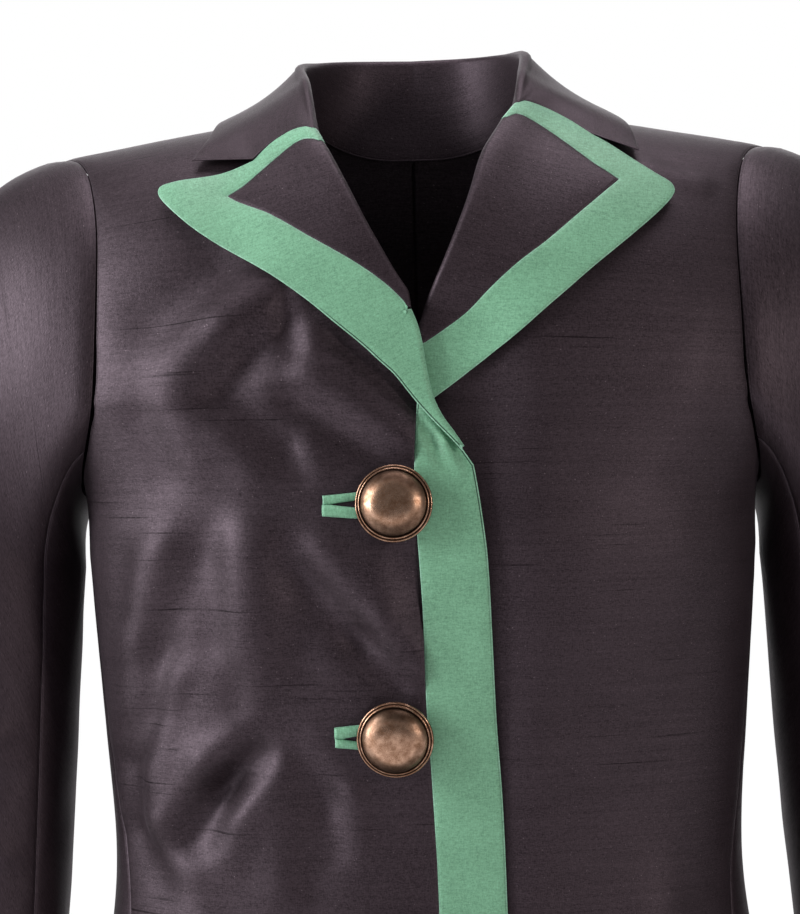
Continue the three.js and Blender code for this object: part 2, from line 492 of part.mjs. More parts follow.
// ---- collar --------------------------------------------------------------------------------
function overPoint(x, turn, lift) {
  const at = (xx, g) => {
    const a = g * Math.PI / 180, n = read(BODY, CHEST, SQUARE), w = read(BODY, CHEST, WIDTH);
    const k = Math.max(0, 1 - (Math.abs(xx) / w) ** n) ** (1 / n);
    const d = read(BODY, CHEST, g > 0 ? FRONT : BACK) * k;
    return [xx, -d * Math.sin(a), CHEST + (shoulderTop(xx) - CHEST) * Math.cos(a)];
  };
  const round = sub(at(x, turn + 0.5), at(x, turn - 0.5)), over = sub(at(x + 0.5, turn), at(x - 0.5, turn));
  const n = unit(cross(round, over));
  return add(at(x, turn), n, n[2] < 0 ? -lift : lift);
}
function collarSheet() {
  const last = NECK_BACK + NECK_FRONT, fallCount = 8;
  const half = (sideSign, table, lap, rollBase, gorge, tip) => {
    // the neck seam passes the same points as the panels' neck edges
    const base = toStation(rollBase[0]);
    const back = backNeck().map(([a, s]) => body(1, 180 - a / DEGREE, s));
    const ends = [toAngle([SIDE_NECK, TOP]), toAngle([Math.abs(base[0]), base[1]])];
    const front = resample(ends.map(stretch), NECK_FRONT).map(([a, s]) => body(1, a / DEGREE, s));
    const neck = [...back, ...front.slice(1)];
    const foot = i => {
      const d = sub(neck[Math.min(i + 1, last)], neck[Math.max(i - 1, 0)]);
      const inward = unit(i === 0 ? [0, -1, 0] : [d[1], -d[0], 0]);
      const p = add(neck[i], inward, (inward[0] > 0 ? -1 : 1) * (WALL + SEAM + 0.95));
      return [p[0], p[1], p[2] - 1.2];
    };
    const rows = [];
    for (let i = 0; i <= COLLAR_LAST; i++) {
      const crest = [1, 2, 3].map(c => read(table, i, c));
      const edge = overPoint(read(table, i, 4), read(table, i, 5), COLLAR_LIE);
      const out = unit([edge[0] - crest[0], edge[1] - crest[1], 0]);
      const cIn = add(crest, out, -COLLAR_FOLD), cOut = add(crest, out, COLLAR_FOLD);
      const f = foot(i), push = read(table, i, 6), top = add(crest, [0, 0, 1], COLLAR_FOLD);
      const row = [f, blend(f, cIn, 0.34), blend(f, cIn, 0.7), cIn, top, cOut];
      const mid = add(add(blend(cOut, edge, 0.5), out, push * 0.5), [0, 0, 1], push * 0.8);
      for (let k = 1; k <= fallCount; k++) {
        const t = k / fallCount;
        row.push(blend(blend(cOut, mid, t), blend(mid, edge, t), t));
      }
      rows.push(row.map(p => [p[0] * sideSign, p[1], p[2]]));
    }
    // last station: the roll of the lapel a seam away, then the gorge and the collar's front edge
    const along = lap.turns[0].turn.map((p, k) => unit(sub(p, lap.turns[1].turn[k])));
    const end = lap.turns[0].turn.map((p, k) => add(p, along[k], SEAM * 2));
    const points = [...gorge, ...resample([gorge[gorge.length - 1], tip], 3).slice(1)];
    rows[last] = [...end, ...points.slice(1).map(lap.place)];
    const normals = [...end.map(() => undefined), ...points.slice(1).map(lap.facing)];
    for (let i = COLLAR_LAST + 1; i < last; i++) {
      const span = last - COLLAR_LAST, t = (i - COLLAR_LAST) / span, [t2, t3] = [t * t, t * t * t];
      rows[i] = rows[COLLAR_LAST].map((p, k) => {
        const m0 = sub(p, rows[COLLAR_LAST - 1][k]).map(v => v * span), m1 = sub(rows[last][k], p);
        return p.map((c, q) => (2 * t3 - 3 * t2 + 1) * c + (t3 - 2 * t2 + t) * m0[q]
          + (3 * t2 - 2 * t3) * rows[last][k][q] + (t3 - t2) * m1[q]);
      });
      const f = foot(i);
      rows[i][0] = [f[0] * sideSign, f[1], f[2]];
    }
    return rows.map((row, i) => row.map((p, k) => [p, i === last ? normals[k] : undefined]));
  };
  const gorgeR = shift(BAND_RIGHT.slice(0, 6).map(r => [r[2], r[3]]), -SEAM * 1.4);
  const gorgeL = shift(BAND_LEFT.slice(0, 6).map(r => [r[2], r[3]]), SEAM * 1.4);
  const rightRows = half(-1, COLLAR_RIGHT, right, rollBaseRight, gorgeR, COLLAR_TIP_RIGHT);
  const leftRows = half(1, COLLAR_LEFT, leftLapel, rollBaseLeft, gorgeL, COLLAR_TIP_LEFT);
  const s = sheet();
  s.rows([...rightRows.slice(1).reverse(), ...leftRows].map(row => row.map(([p, n]) => s.point(p, n))));
  return s;
}

// ---- trims ---------------------------------------------------------------------------------
function buttonhole(k) {
  const [bx, bz] = BUTTONS[k], x0 = BUTTONHOLE_END[k], x1 = bx + 6, n = 8;
  const s = sheet(), cols = [];
  for (let i = 0; i <= n; i++) {
    const x = i === 0 ? x0 : mix(x0 + 2.4, x1, (i - 1) / (n - 1));
    const slit = i < 2 ? SLIT * 0.4 : SLIT * Math.min(1, 0.55 + 0.2 * i);
    cols.push([LIP, LIP * 0.55 + 0.2, slit, -slit, -LIP * 0.55 - 0.2, -LIP].map((dz, r) =>
      s.point(lifted(x, bz + dz, (r === 1 || r === 4 ? 1.9 : 1.5), false))));
  }
  for (let i = 0; i < n; i++) {
    for (let r = 0; r < 5; r++) {
      if (r === 2 && i > 0) continue;
      s.quads.push([cols[i][r], cols[i + 1][r], cols[i + 1][r + 1], cols[i][r + 1]]);
    }
  }
  return wall(s, () => [0, -1, 0], 1.1);
}
function button(k) {
  const [x, z] = BUTTONS[k], lift = 2.1, n = frontNormal(x, z, false);
  const seat = add([x, frontY(x, z, false), z], n, lift);
  const merged = weld(new THREE.LatheGeometry(BUTTON_PROFILE.map(p => new THREE.Vector2(...p)), 20));
  const turn = new THREE.Quaternion();
  turn.setFromUnitVectors(new THREE.Vector3(0, 1, 0), new THREE.Vector3(...n));
  merged.applyQuaternion(turn);
  merged.translate(...seat);
  return merged;
}
function weld(g) {
  const pos = g.attributes.position, map = new Map(), ids = [], out = [];
  for (let i = 0; i < pos.count; i++) {
    const p = [pos.getX(i), pos.getY(i), pos.getZ(i)].map(v => Math.abs(v) < 1e-6 ? 0 : v);
    const key = p.map(v => v.toFixed(4)).join();
    if (!map.has(key)) { map.set(key, out.length / 3); out.push(...p); }
    ids.push(map.get(key));
  }
  const idx = [];
  for (let i = 0; i < g.index.count; i += 3) {
    const t = [0, 1, 2].map(k => ids[g.index.getX(i + k)]);
    if (new Set(t).size === 3) idx.push(...t);
  }
  const w = new THREE.BufferGeometry();
  w.setAttribute('position', new THREE.Float32BufferAttribute(out, 3));
  w.setIndex(idx);
  w.computeVertexNormals();
  return w;
}

// ---- the jacket ----------------------------------------------------------------------------
const COLOURS = { silk: 0x33292e, green: 0x52947a, green_silk: 0x4e8f75, brass: 0x5b4334 };
const jacket = new THREE.Group();
jacket.name = 'blazer';
function put(name, geometry, colour, metal = 0) {
  // faces out: turn the whole body over when its volume comes out negative
  const p = geometry.attributes.position, ix = geometry.index;
  let volume = 0;
  for (let i = 0; i < ix.count; i += 3) {
    const v = [0, 1, 2].map(k => new THREE.Vector3().fromBufferAttribute(p, ix.getX(i + k)));
    volume += v[0].dot(v[1].clone().cross(v[2]));
  }
  if (volume < 0) {
    for (let i = 0; i < ix.count; i += 3) {
      const a = ix.getX(i);
      ix.setX(i, ix.getX(i + 1));
      ix.setX(i + 1, a);
    }
    geometry.computeVertexNormals();
  }
  const mesh = new THREE.Mesh(geometry, new THREE.MeshStandardMaterial({
    color: colour, roughness: metal ? 0.4 : 0.75, metalness: metal, side: THREE.FrontSide }));
  mesh.name = name;
  jacket.add(mesh);
}
const out = p => [p[0], p[1], 0], ahead = () => [0, -1, 0];
put('front_right', wall(frontRight(), out), COLOURS.silk);
put('front_left', wall(frontLeft(), out), COLOURS.silk);
put('front_band', wall(frontBand(), out), COLOURS.green);
put('lapel_right', wall(right.dark, ahead), COLOURS.silk);
put('lapel_left', wall(leftLapel.dark, ahead), COLOURS.silk);
put('lapel_band_right', wall(right.band, ahead), COLOURS.green);
put('lapel_band_left', wall(leftLapel.band, ahead), COLOURS.green);
put('collar', wall(collarSheet(), () => [0, 0, 1]), COLOURS.silk);
for (const [side, sign] of [['right', -1], ['left', 1]]) {
  const parts = sleeveParts(sign), away = p => [p[0] - sign * 254, p[1], 0];
  put('side_' + side, wall(sidePanel(sign), out), COLOURS.silk);
  put('back_' + side, wall(backPanel(sign), out), COLOURS.silk);
  put('sleeve_upper_' + side, wall(parts.upper, away), COLOURS.silk);
  put('sleeve_under_' + side, wall(parts.under, away), COLOURS.silk);
}
BUTTONS.forEach((_, k) => {
  put('buttonhole_' + (k + 1), buttonhole(k), COLOURS.green_silk);
  put('button_' + (k + 1), button(k), COLOURS.brass, 1);
});

export default jacket;
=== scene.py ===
# Women's single-breasted silk jacket, worn and hollow. Millimetres until a mesh is made.
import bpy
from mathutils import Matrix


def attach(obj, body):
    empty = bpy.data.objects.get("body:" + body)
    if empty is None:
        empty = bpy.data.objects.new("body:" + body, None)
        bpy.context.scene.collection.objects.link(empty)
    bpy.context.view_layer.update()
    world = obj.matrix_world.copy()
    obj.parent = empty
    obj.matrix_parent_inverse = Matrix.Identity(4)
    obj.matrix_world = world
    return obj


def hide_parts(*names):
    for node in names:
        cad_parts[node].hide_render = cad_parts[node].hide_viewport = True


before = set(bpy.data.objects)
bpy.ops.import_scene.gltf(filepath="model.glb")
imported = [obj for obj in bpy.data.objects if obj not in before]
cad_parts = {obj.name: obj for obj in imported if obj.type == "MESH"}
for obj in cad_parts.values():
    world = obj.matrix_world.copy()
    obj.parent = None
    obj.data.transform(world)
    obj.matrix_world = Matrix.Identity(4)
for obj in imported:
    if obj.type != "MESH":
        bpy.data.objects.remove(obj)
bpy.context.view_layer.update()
import math

import bpy
import numpy as np
from mathutils import Matrix

# ---- pattern sizes, the same as the part's
WALL, SEAM = 1.3, 0.06
CHEST, NECK_LEVEL, SADDLE = -160, 72, 30
SHOULDER_SLOPE = math.tan(math.radians(9.9))
HEM, UNDERARM, UNDERLAP, LAPEL_LIE = -610, -205, 7.5, 5.0
ROLL_LOW, ROLL_HIGH, COLLAR_FOLD, COLLAR_LIE = 3.4, 13, 3.2, 3.8
TOP, SIDE_NECK = -70, 68

# body rings: level, half width, front depth, back depth, squareness
BODY = np.array([
    [-610, 198, 128, 126, 2.3], [-510, 186, 119, 116, 2.35], [-420, 175, 108, 92, 2.4],
    [-340, 178, 114, 98, 2.5], [-245, 184, 128, 108, 2.6], [-205, 187, 126, 111, 2.65],
    [-160, 207, 121, 112, 3.0]])
# sleeve rings: level, centre x, centre y, half width, half depth
SLEEVE = np.array([
    [-250, 241, 3, 52, 62], [-330, 244, 3, 50, 58], [-420, 247, -2, 47, 53],
    [-510, 250, -14, 43, 48], [-590, 252, -30, 40, 44]])

EDGE_RIGHT = [[43, -610], [41.5, -520], [39.5, -415], [38.2, -370], [35.8, -330],
              [34.4, -290], [32.6, -245], [30.1, -221], [27.6, -203], [26.4, -196.3]]
BAND_SEAM = [[7, -610], [5.5, -520], [3.7, -414], [2, -369], [-0.6, -317], [-1.3, -275],
             [-2.8, -244], [-4.4, -214], [-3.9, -188], [-2.1, -163.6], [-1.9, -160]]
EDGE_LEFT = [[-33, -610], [-31, -520], [-29, -415], [-28, -340], [-26, -260], [-22, -205],
             [-20, -193]]

# lapels seen from the front: rungs of the green band (inner x, z, outer x, z)
BAND_RIGHT = np.array([
    [-47.7, -21.2, -51.3, -13.6], [-54.2, -21.6, -58, -14], [-59, -21.5, -63, -14.6],
    [-64.7, -24, -68.9, -17], [-77.4, -34.3, -77.8, -22.9], [-90.2, -44.8, -86.4, -31.4],
    [-95.5, -48.2, -103.5, -37.7], [-98.5, -50, -116.6, -41.5], [-99.8, -50.8, -129.7, -44.4],
    [-99, -51.5, -135.6, -46.4], [-97.5, -52.4, -136.3, -50.5], [-95.2, -53.9, -131, -57.5],
    [-88, -57.4, -119, -68.4], [-77, -62.6, -102.6, -79.3], [-57.9, -74.6, -77, -95.2],
    [-39, -86, -58.2, -109.1], [-26.6, -94.2, -44, -121.3], [-16.7, -102, -33.5, -130.2],
    [-10.8, -107.8, -26.8, -136.2], [-7.6, -111.5, -23.6, -139.4], [-5.7, -114.4, -20.9, -142],
    [-3.85, -114.9, -19.6, -143.2], [-0.9, -122.5, -13.5, -149], [1.5, -132.6, -7, -157.5],
    [3.6, -147, -0.8, -165.4], [6.4, -160, 5.8, -172.9], [10.6, -169.5, 11.2, -178.6],
    [16.6, -178.3, 16.2, -184], [21.8, -186.2, 20.6, -189.2]])
BAND_LEFT = np.array([
    [46.5, -8.7, 53.6, 0.7], [54.5, -8.8, 60, 0], [60, -10.5, 65.5, -1.4],
    [70.7, -17.5, 74, -5], [82.9, -27.4, 84.6, -11.4], [95.1, -37.9, 94.9, -19.6],
    [101.5, -42.5, 104, -25.6], [105.5, -45.6, 116, -34.8], [107.4, -46.9, 128, -43.4],
    [106.2, -48, 136, -49], [104, -49.8, 136.9, -54.2], [100, -53.1, 130, -62.6],
    [93.5, -58.5, 118.7, -72.5], [79.9, -69.8, 104.9, -83.7], [66.6, -80.9, 91.5, -94.3],
    [53.6, -90.4, 78.3, -105.4], [43.2, -99.3, 65.3, -116.2], [34.1, -108, 55, -125],
    [27.7, -114.6, 47, -131.5], [21.3, -120, 39.6, -137.1], [11.2, -127, 30, -144.5],
    [5.4, -130.8, 23.6, -149.3], [1.8, -133, 19.2, -152.6], [-3.1, -133.4, 13.4, -156.8],
    [-7, -145, 4, -163.5], [-11, -157, -4, -170.6], [-15.5, -171, -11.5, -178.5],
    [-18.5, -182, -16, -185.5]])
ROLL_RIGHT = [[-47.7, -21.2], [-43.9, -29.4], [-39.9, -38], [-36, -46.4], [-32.2, -54.6],
              [-28.4, -62.8], [-23.6, -72.2], [-18.4, -82], [-13.4, -91.4], [-8.6, -99.6],
              [-5.2, -105.2], [-4.4, -110], [-3.95, -114.2]]
ROLL_LEFT = [[46.5, -8.7], [41.5, -17.5], [36, -27], [32.2, -37.2], [29.2, -47.4],
             [25.6, -58], [21.2, -69], [16.6, -80.4], [12, -91.6], [7.6, -102.4], [4.2, -110.4],
             [1.8, -117], [-0.2, -122.8], [-1.8, -128], [-2.9, -132.7]]
CORNER_RUNG, NOTCH_RUNG, BAND_TOP_RUNG = 8, 5, 24

# side seams: level, front and back angle; armhole: turn over the shoulder, front x, back x
SIDE_SEAM = np.array([[-610, 60, 60], [-510, 62, 60], [-420, 67.5, 65], [-378, 74.5, 67],
                      [-340, 77, 69], [-290, 79.5, 71], [-245, 80.5, 73], [-205, 81, 74]])
ARMHOLE = np.array([[-205, 185, 181], [-190, 180, 179], [-175, 175.5, 177.2], [-160, 172.5, 176],
                    [-140, 170.5, 175.5], [-120, 171, 176], [-100, 177, 180.5],
                    [-85, 185.5, 187], [TOP, 197, 197]])
BACK_NECK = [[0, -102.4], [16, -101.9], [32, -99.4], [46, -94.5], [57, -87.3], [64, -79], [68, TOP]]
# collar halves: station, crest x, y, z, fall edge x and turn, fullness
COLLAR_RIGHT = np.array([
    [0, 0, 67, 36, 0, -41, 4], [2, 31, 60, 35.4, 38, -39, 3], [4, 52, 38, 31.5, 73, -31, 0],
    [6, 62.5, 6, 26.5, 101.5, -3, -4], [8, 59.5, -27, 15, 110, 20, -3]])
COLLAR_LEFT = np.array([
    [0, 0, 67, 36, 0, -41, 4], [2, 31, 60, 36, 38, -39, 3], [4, 52, 38, 34.5, 74, -31, 1],
    [6, 63, 6, 31, 106, -5, -3], [8, 60.5, -27, 17.5, 115, 14, -2]])
COLLAR_TIP_RIGHT, COLLAR_TIP_LEFT = [-119.3, -30.2], [120.4, -29.6]
NECK_FRONT, NECK_BACK, COLLAR_LAST = 5, 6, 8

BUTTONS = [[-14.7, -215.6], [-16.5, -336.5], [-16.2, -457.5]]
BUTTONHOLE_END = [-51.8, -48.2, -48]
LIP = 5.2

# ---- folds: x, z of the two ends, rise, spread
FRONT_FOLDS = [
    (-124, -440, -112, -600, 3.2, 20), (-66, -470, -78, -600, -3.2, 18),
    (-150, -470, -146, -600, -2.6, 14),
    (126, -38, 152, -48, 1.6, 5), (148, -120, 122, -196, 1.2, 16), (86, -250, 70, -340, 0.6, 20),
    (136, -300, 112, -376, -1.2, 18), (122, -440, 132, -600, 3.2, 20),
    (74, -460, 82, -600, -3.0, 18), (54, -340, 46, -420, 1.6, 16)]
# slopes: x, z of the two ends, how steeply the cloth turns to the wearer's right, spread
RIGHT_SLOPES = [
    (-98, -103, -130, -129, 0.38, 15.8), (-65, -109, -95, -129, -0.57, 9.9),
    (-95, -129, -119, -155, -0.42, 11.1), (-71, -102, -75, -125, -0.61, 2.3),
    (-66, -106, -61, -133, 0.57, 6.2), (-43, -138, -7, -169, -0.61, 9.2),
    (-62, -156, -9, -191, 0.85, 7.6), (-106, -163, -81, -190, -0.47, 11.1),
    (-139, -167, -126, -195, 0.35, 9.9), (-64, -184, -56, -201, 0.42, 4.8),
    (-103, -232, -102, -286, 0.47, 11.5), (-75, -241, -76, -295, -0.35, 12.9),
    (-61, -244, -28, -280, 0.85, 9.8), (-28, -280, -9, -305, 0.82, 8.4),
    (-17, -245, -6, -281, -0.38, 10.1), (-130, -240, -148, -288, -0.55, 10.1),
    (-148, -288, -152, -322, -0.49, 8.1), (-154, -242, -156, -285, 0.27, 7.5),
    (-142, -333, -152, -356, 0.49, 8.4), (-152, -356, -149, -388, 0.49, 9.5),
    (-149, -388, -136, -411, 0.42, 10.1), (-95, -341, -112, -356, -0.85, 8.4),
    (-112, -356, -135, -386, -1.03, 8.4), (-84, -349, -104, -374, 0.47, 8.8),
    (-104, -374, -113, -397, 0.42, 8.8), (-61, -339, -46, -369, 0.49, 7.0),
    (-46, -369, -43, -396, 0.42, 7.5), (-71, -368, -70, -414, -0.33, 10.1),
    (-127, -307, -137, -334, -0.34, 6.1), (-93, -304, -94, -328, 0.27, 6.5)]
LAPEL_SLOPES = [(-114, -34, -112, -72, -0.22, 15)]
BAND_FOLDS = [
    (-1.2, -171, 7.5, -185.6, -1.7, 2.2), (7.5, -185.6, 12.2, -196.2, -1.4, 2.4),
    (0.9, -172.3, 10.9, -183.6, 1.5, 1.8), (10.9, -183.6, 18, -197, 1.5, 2.4),
    (13.5, -181.5, 23.5, -197, -1.2, 1.3), (-2.4, -178, 4, -195, 1.3, 2.6),
    (2.1, -195, 8, -203, -0.8, 1.9), (8, -203, 15, -212, -0.6, 2.2), (7, -200, 14, -206, 0.7, 2),
    (10, -300, 24, -330, 0.6, 9), (12, -400, 20, -440, -0.6, 9)]
BACK_FOLDS = [
    (-60, -418, 60, -404, -2.0, 12), (-120, -440, -30, -396, 2.2, 12), (30, -392, 118, -436, 2.2, 12),
    (-140, -360, -60, -340, -1.8, 13), (66, -346, 140, -368, -1.8, 13),
    (-132, -300, -112, -180, 2.6, 15), (114, -184, 134, -296, 2.6, 15),
    (-96, -290, -88, -190, -1.8, 14), (90, -190, 98, -292, -1.8, 14),
    (-70, -450, -84, -600, 2.6, 22), (72, -452, 86, -600, 2.6, 22), (-128, -470, -138, -600, -2.4, 20),
    (126, -470, 138, -600, -2.4, 20), (-52, -118, 48, -124, 1.2, 14)]
# sleeves: distance round from the top of the cap and level of the two ends
SLEEVE_FOLDS = [
    (-96, -330, -30, -352, 3.0, 9), (-102, -356, -28, -384, -2.6, 8), (-104, -392, -40, -372, 2.6, 9),
    (60, -372, 112, -344, 2.2, 10), (52, -300, 106, -330, -2.2, 11), (-50, -190, -74, -286, 2.4, 12),
    (46, -190, 66, -280, -2.2, 12), (-12, -230, 14, -330, 1.8, 15), (-20, -430, 28, -470, 2.2, 12),
    (-70, -470, -10, -520, -2.0, 11), (40, -480, 84, -540, 1.8, 12), (4, -96, 10, -176, -1.4, 12)]


# ---- small helpers
def mix(a, b, t):
    return a + (b - a) * t


def soft(t):
    t = np.clip(t, 0, 1)
    return t * t * (3 - 2 * t)


def unit(v):
    return v / np.maximum(np.linalg.norm(v, axis=-1, keepdims=True), 1e-9)


def run_of(line):
    """Distance along a line at each of its points."""
    return np.concatenate([[0], np.cumsum(np.linalg.norm(np.diff(line, axis=0), axis=1))])


def curve(s, a, leave, b, arrive):
    """Smooth way from a to b that leaves and arrives along these."""
    return ((2 * s**3 - 3 * s * s + 1) * a + (s**3 - 2 * s * s + s) * leave
            + (3 * s * s - 2 * s**3) * b + (s**3 - s * s) * arrive)


def read(table, key, column):
    """Smooth reading of a table column at these keys."""
    t, v = table[:, 0].astype(float), table[:, column].astype(float)
    slope = np.empty(len(t))
    slope[1:-1] = (v[2:] - v[:-2]) / (t[2:] - t[:-2])
    slope[0], slope[-1] = (v[1] - v[0]) / (t[1] - t[0]), (v[-1] - v[-2]) / (t[-1] - t[-2])
    if t[-1] < t[0]:
        t, v, slope = t[::-1], v[::-1], slope[::-1]
    key = np.asarray(key, float)
    i = np.clip(np.searchsorted(t, key) - 1, 0, len(t) - 2)
    span = t[i + 1] - t[i]
    s = np.clip((key - t[i]) / span, 0, 1)
    return curve(s, v[i], span * slope[i], v[i + 1], span * slope[i + 1])


def smooth(line, steps, corners=()):
    """A finer line through the same points, sharp at the corners."""
    p = np.asarray(line, float)
    far = np.maximum(np.linalg.norm(np.diff(p, axis=0), axis=1), 1e-6)
    last, out = len(p) - 1, []

    def heading(i, own):
        if i in (0, last) or i in corners:
            return (p[own + 1] - p[own]) / far[own]
        return (p[i + 1] - p[i - 1]) / (far[i] + far[i - 1])

    for i in range(last):
        leave, arrive = heading(i, i) * far[i], heading(i + 1, i) * far[i]
        out += [curve(s, p[i], leave, p[i + 1], arrive) for s in np.arange(steps) / steps]
    return np.array(out + [p[last]])


def along(line, places):
    """Points of a line at these shares of its length."""
    line = np.asarray(line, float)
    run = run_of(line)
    return np.stack([np.interp(np.asarray(places) * run[-1], run, c) for c in line.T], axis=1)


def even(line, count):
    return along(line, np.linspace(0, 1, count + 1))


def shift(line, d):
    """Move a plane line sideways."""
    t = unit(np.gradient(np.asarray(line, float), axis=0))
    return np.asarray(line, float) + np.stack([-t[:, 1], t[:, 0]], axis=1) * d


def shares(line):
    """Share of a line's length at each of its points."""
    run = run_of(line)
    return run / run[-1]


def patch(left, right, bottom, top):
    """Net between four sides: rows from bottom to top, columns from left to right."""
    u, v = shares(bottom)[None, :, None], shares(right)[:, None, None]
    left, right, bottom, top = left[:, None], right[:, None], bottom[None], top[None]
    return ((1 - u) * left + u * right + (1 - v) * bottom + v * top
            - (1 - u) * (1 - v) * left[:1] - u * (1 - v) * right[:1]
            - (1 - u) * v * left[-1:] - u * v * right[-1:])


def edged(net, sides):
    """The net with two narrow rows along these sides (S first row, N last, W first column, E last)."""
    for side in sides:
        g = net.transpose(1, 0, 2) if side in "WE" else net
        g = g[::-1] if side in "NE" else g
        step = g[1] - g[0]
        gap = np.maximum(np.linalg.norm(step, axis=1, keepdims=True), 1e-6)
        near = [g[0] + step * np.minimum(d / gap, f) for d, f in ((0.45, 0.2), (1.1, 0.45), (2.2, 0.7))]
        g = np.concatenate([g[:1], np.stack(near), g[1:]])
        g = g[::-1] if side in "NE" else g
        net = g.transpose(1, 0, 2) if side in "WE" else g
    return net


def ripple(p, size, seed):
    """Smooth unevenness from -1 to 1, with swells of about this size."""
    q = p / np.asarray(size, float) + seed * 7.31
    cell = np.floor(q)
    f = q - cell
    f = f * f * (3 - 2 * f)
    total = np.zeros(len(q))
    for corner in np.ndindex(2, 2, 2):
        c = np.array(corner)
        h = np.sin((cell + c) @ np.array([127.1, 311.7, 74.7])) * 43758.5453
        total += (h - np.floor(h)) * np.prod(np.where(c, f, 1 - f), axis=1)
    return total * 2 - 1


def by_row(row, x, z):
    """Share of a row's length, distance to its side, distance past its ends, and its length."""
    x0, z0, x1, z1 = row
    dx, dz = x1 - x0, z1 - z0
    length = math.hypot(dx, dz)
    t = ((x - x0) * dx + (z - z0) * dz) / length**2
    side = ((x - x0) * dz - (z - z0) * dx) / length
    return t, side, np.maximum(0, np.maximum(-t, t - 1)) * length, length


def folds(table, x, z):
    """Soft uneven ridges and troughs, steeper on one side, fading at their ends."""
    height = np.zeros(len(x))
    for i, (*row, rise, spread) in enumerate(table):
        t, side, past, length = by_row(row, x, z)
        bow = 0.05 * length * (1 if i % 2 else -1)
        side = side - bow * np.sin(np.clip(t, 0, 1) * math.pi)
        width = spread * mix(0.8, 1.15, np.clip(t, 0, 1)) * np.where(side > 0, 1.2, 0.82)
        height += rise * np.exp(-(side / width)**2 - (past / (1.5 * spread))**2)
    return height


def slopes(table, x, z):
    """Stretches of cloth that turn away to one side, each a small ridge beside a small trough."""
    height = np.zeros(len(x))
    for *row, steep, spread in table:
        _, side, past, _ = by_row(row, x, z)
        height -= steep * side * np.exp(-(side / spread)**2 / 2 - (past / (1.1 * spread))**2)
    return height


# ---- the body the cloth hangs on
LEVEL, WIDTH, FRONT, BACK, SQUARE = range(5)


def shoulder_top(x):
    return -(np.hypot(x, SADDLE) - NECK_LEVEL) * SHOULDER_SLOPE


def body(side, angle, station):
    """Point at an angle from the centre front and a station.

    A station is the level up to the chest, and from there on also the degrees over the shoulder.
    """
    station = np.asarray(station, float)
    level, th = np.minimum(station, CHEST), np.radians(angle)
    n = read(BODY, level, SQUARE)
    x = read(BODY, level, WIDTH) * np.maximum(0, np.sin(th))**(2 / n)
    c = np.cos(th)
    depth = np.where(c > 0, -read(BODY, level, FRONT), read(BODY, level, BACK)) * np.abs(c)**(2 / n)
    turn = np.radians(np.maximum(station - CHEST, 0))
    z = np.where(station <= CHEST, station, CHEST + (shoulder_top(x) - CHEST) * np.sin(turn))
    return np.stack(np.broadcast_arrays(side * x, depth * np.cos(turn), z), axis=-1)


def angle_at(x, station):
    level = np.minimum(station, CHEST)
    share = np.clip(np.abs(x) / read(BODY, level, WIDTH), 0, 1)
    return np.degrees(np.arcsin(share**(read(BODY, level, SQUARE) / 2)))


def station_at(x, z):
    over = np.clip((z - CHEST) / (shoulder_top(x) - CHEST), 0, 1)
    return np.where(z <= CHEST, z, CHEST + np.degrees(np.arcsin(over)))


def sunk(x, z):
    return UNDERLAP * soft((66 - x) / 42) * soft((-92 - z) / 28)


def front_y(x, z, left):
    s = station_at(x, np.minimum(z, shoulder_top(x) - 0.05))
    return body(1, angle_at(x, s), s)[..., 1] + (sunk(x, z) if left else 0)


def front_normal(x, z, left):
    e, z = 0.6, np.minimum(z, shoulder_top(x) - 1.2)
    dx = (front_y(x + e, z, left) - front_y(x - e, z, left)) / (2 * e)
    dz = (front_y(x, z + e, left) - front_y(x, z - e, left)) / (2 * e)
    return unit(np.stack([dx, -np.ones_like(dx), dz], axis=-1))


def under(x, z, lift, left):
    """Where on the front a point must start so that, lifted this much, it is seen at x and z."""
    a, b = x, z
    for _ in range(12):
        n = front_normal(a, b, left)
        a, b = mix(a, x - n[..., 0] * lift, 0.7), mix(b, z - n[..., 2] * lift, 0.7)
    return a, b


def lifted(x, z, lift, left):
    a, b = under(x, z, lift, left)
    foot = np.stack([a, front_y(a, b, left), b], axis=-1)
    return foot + front_normal(a, b, left) * np.asarray(lift)[..., None]


# the cloth's own measure: distance round the body and height up it, both close to millimetres
RING_ANGLE = np.linspace(0, 180, 3601)
RING_RUN = run_of(body(1, RING_ANGLE, -300.0))
OVER = 2.2  # millimetres of cloth to one degree over the shoulder


def up_from(station):
    return np.where(station > CHEST, CHEST + (station - CHEST) * OVER, station)


def station_from(up):
    return np.where(up > CHEST, CHEST + (up - CHEST) / OVER, up)


def on_cloth(side, around, up):
    angle = np.interp(np.abs(around), RING_RUN, RING_ANGLE)
    return body(np.where(around < 0, -side, side), angle, station_from(up))


def cloth_line(x, station):
    x, station = np.asarray(x, float), np.asarray(station, float)
    around = np.interp(angle_at(x, station), RING_ANGLE, RING_RUN) * np.where(x < 0, -1, 1)
    return np.stack([around, up_from(station)], axis=1)


def front_line(points):
    """A line given by x and z on the front, in the cloth's measure."""
    p = np.asarray(points, float)
    return cloth_line(p[:, 0], station_at(p[:, 0], p[:, 1]))


# ---- rolls and lapels
TURN_STEPS = 15


def roll_height(z):
    return mix(ROLL_LOW, ROLL_HIGH, soft((z + 118) / 100))


def roll_out(z):
    return mix(2.9, 3.6, soft((z + 118) / 100))


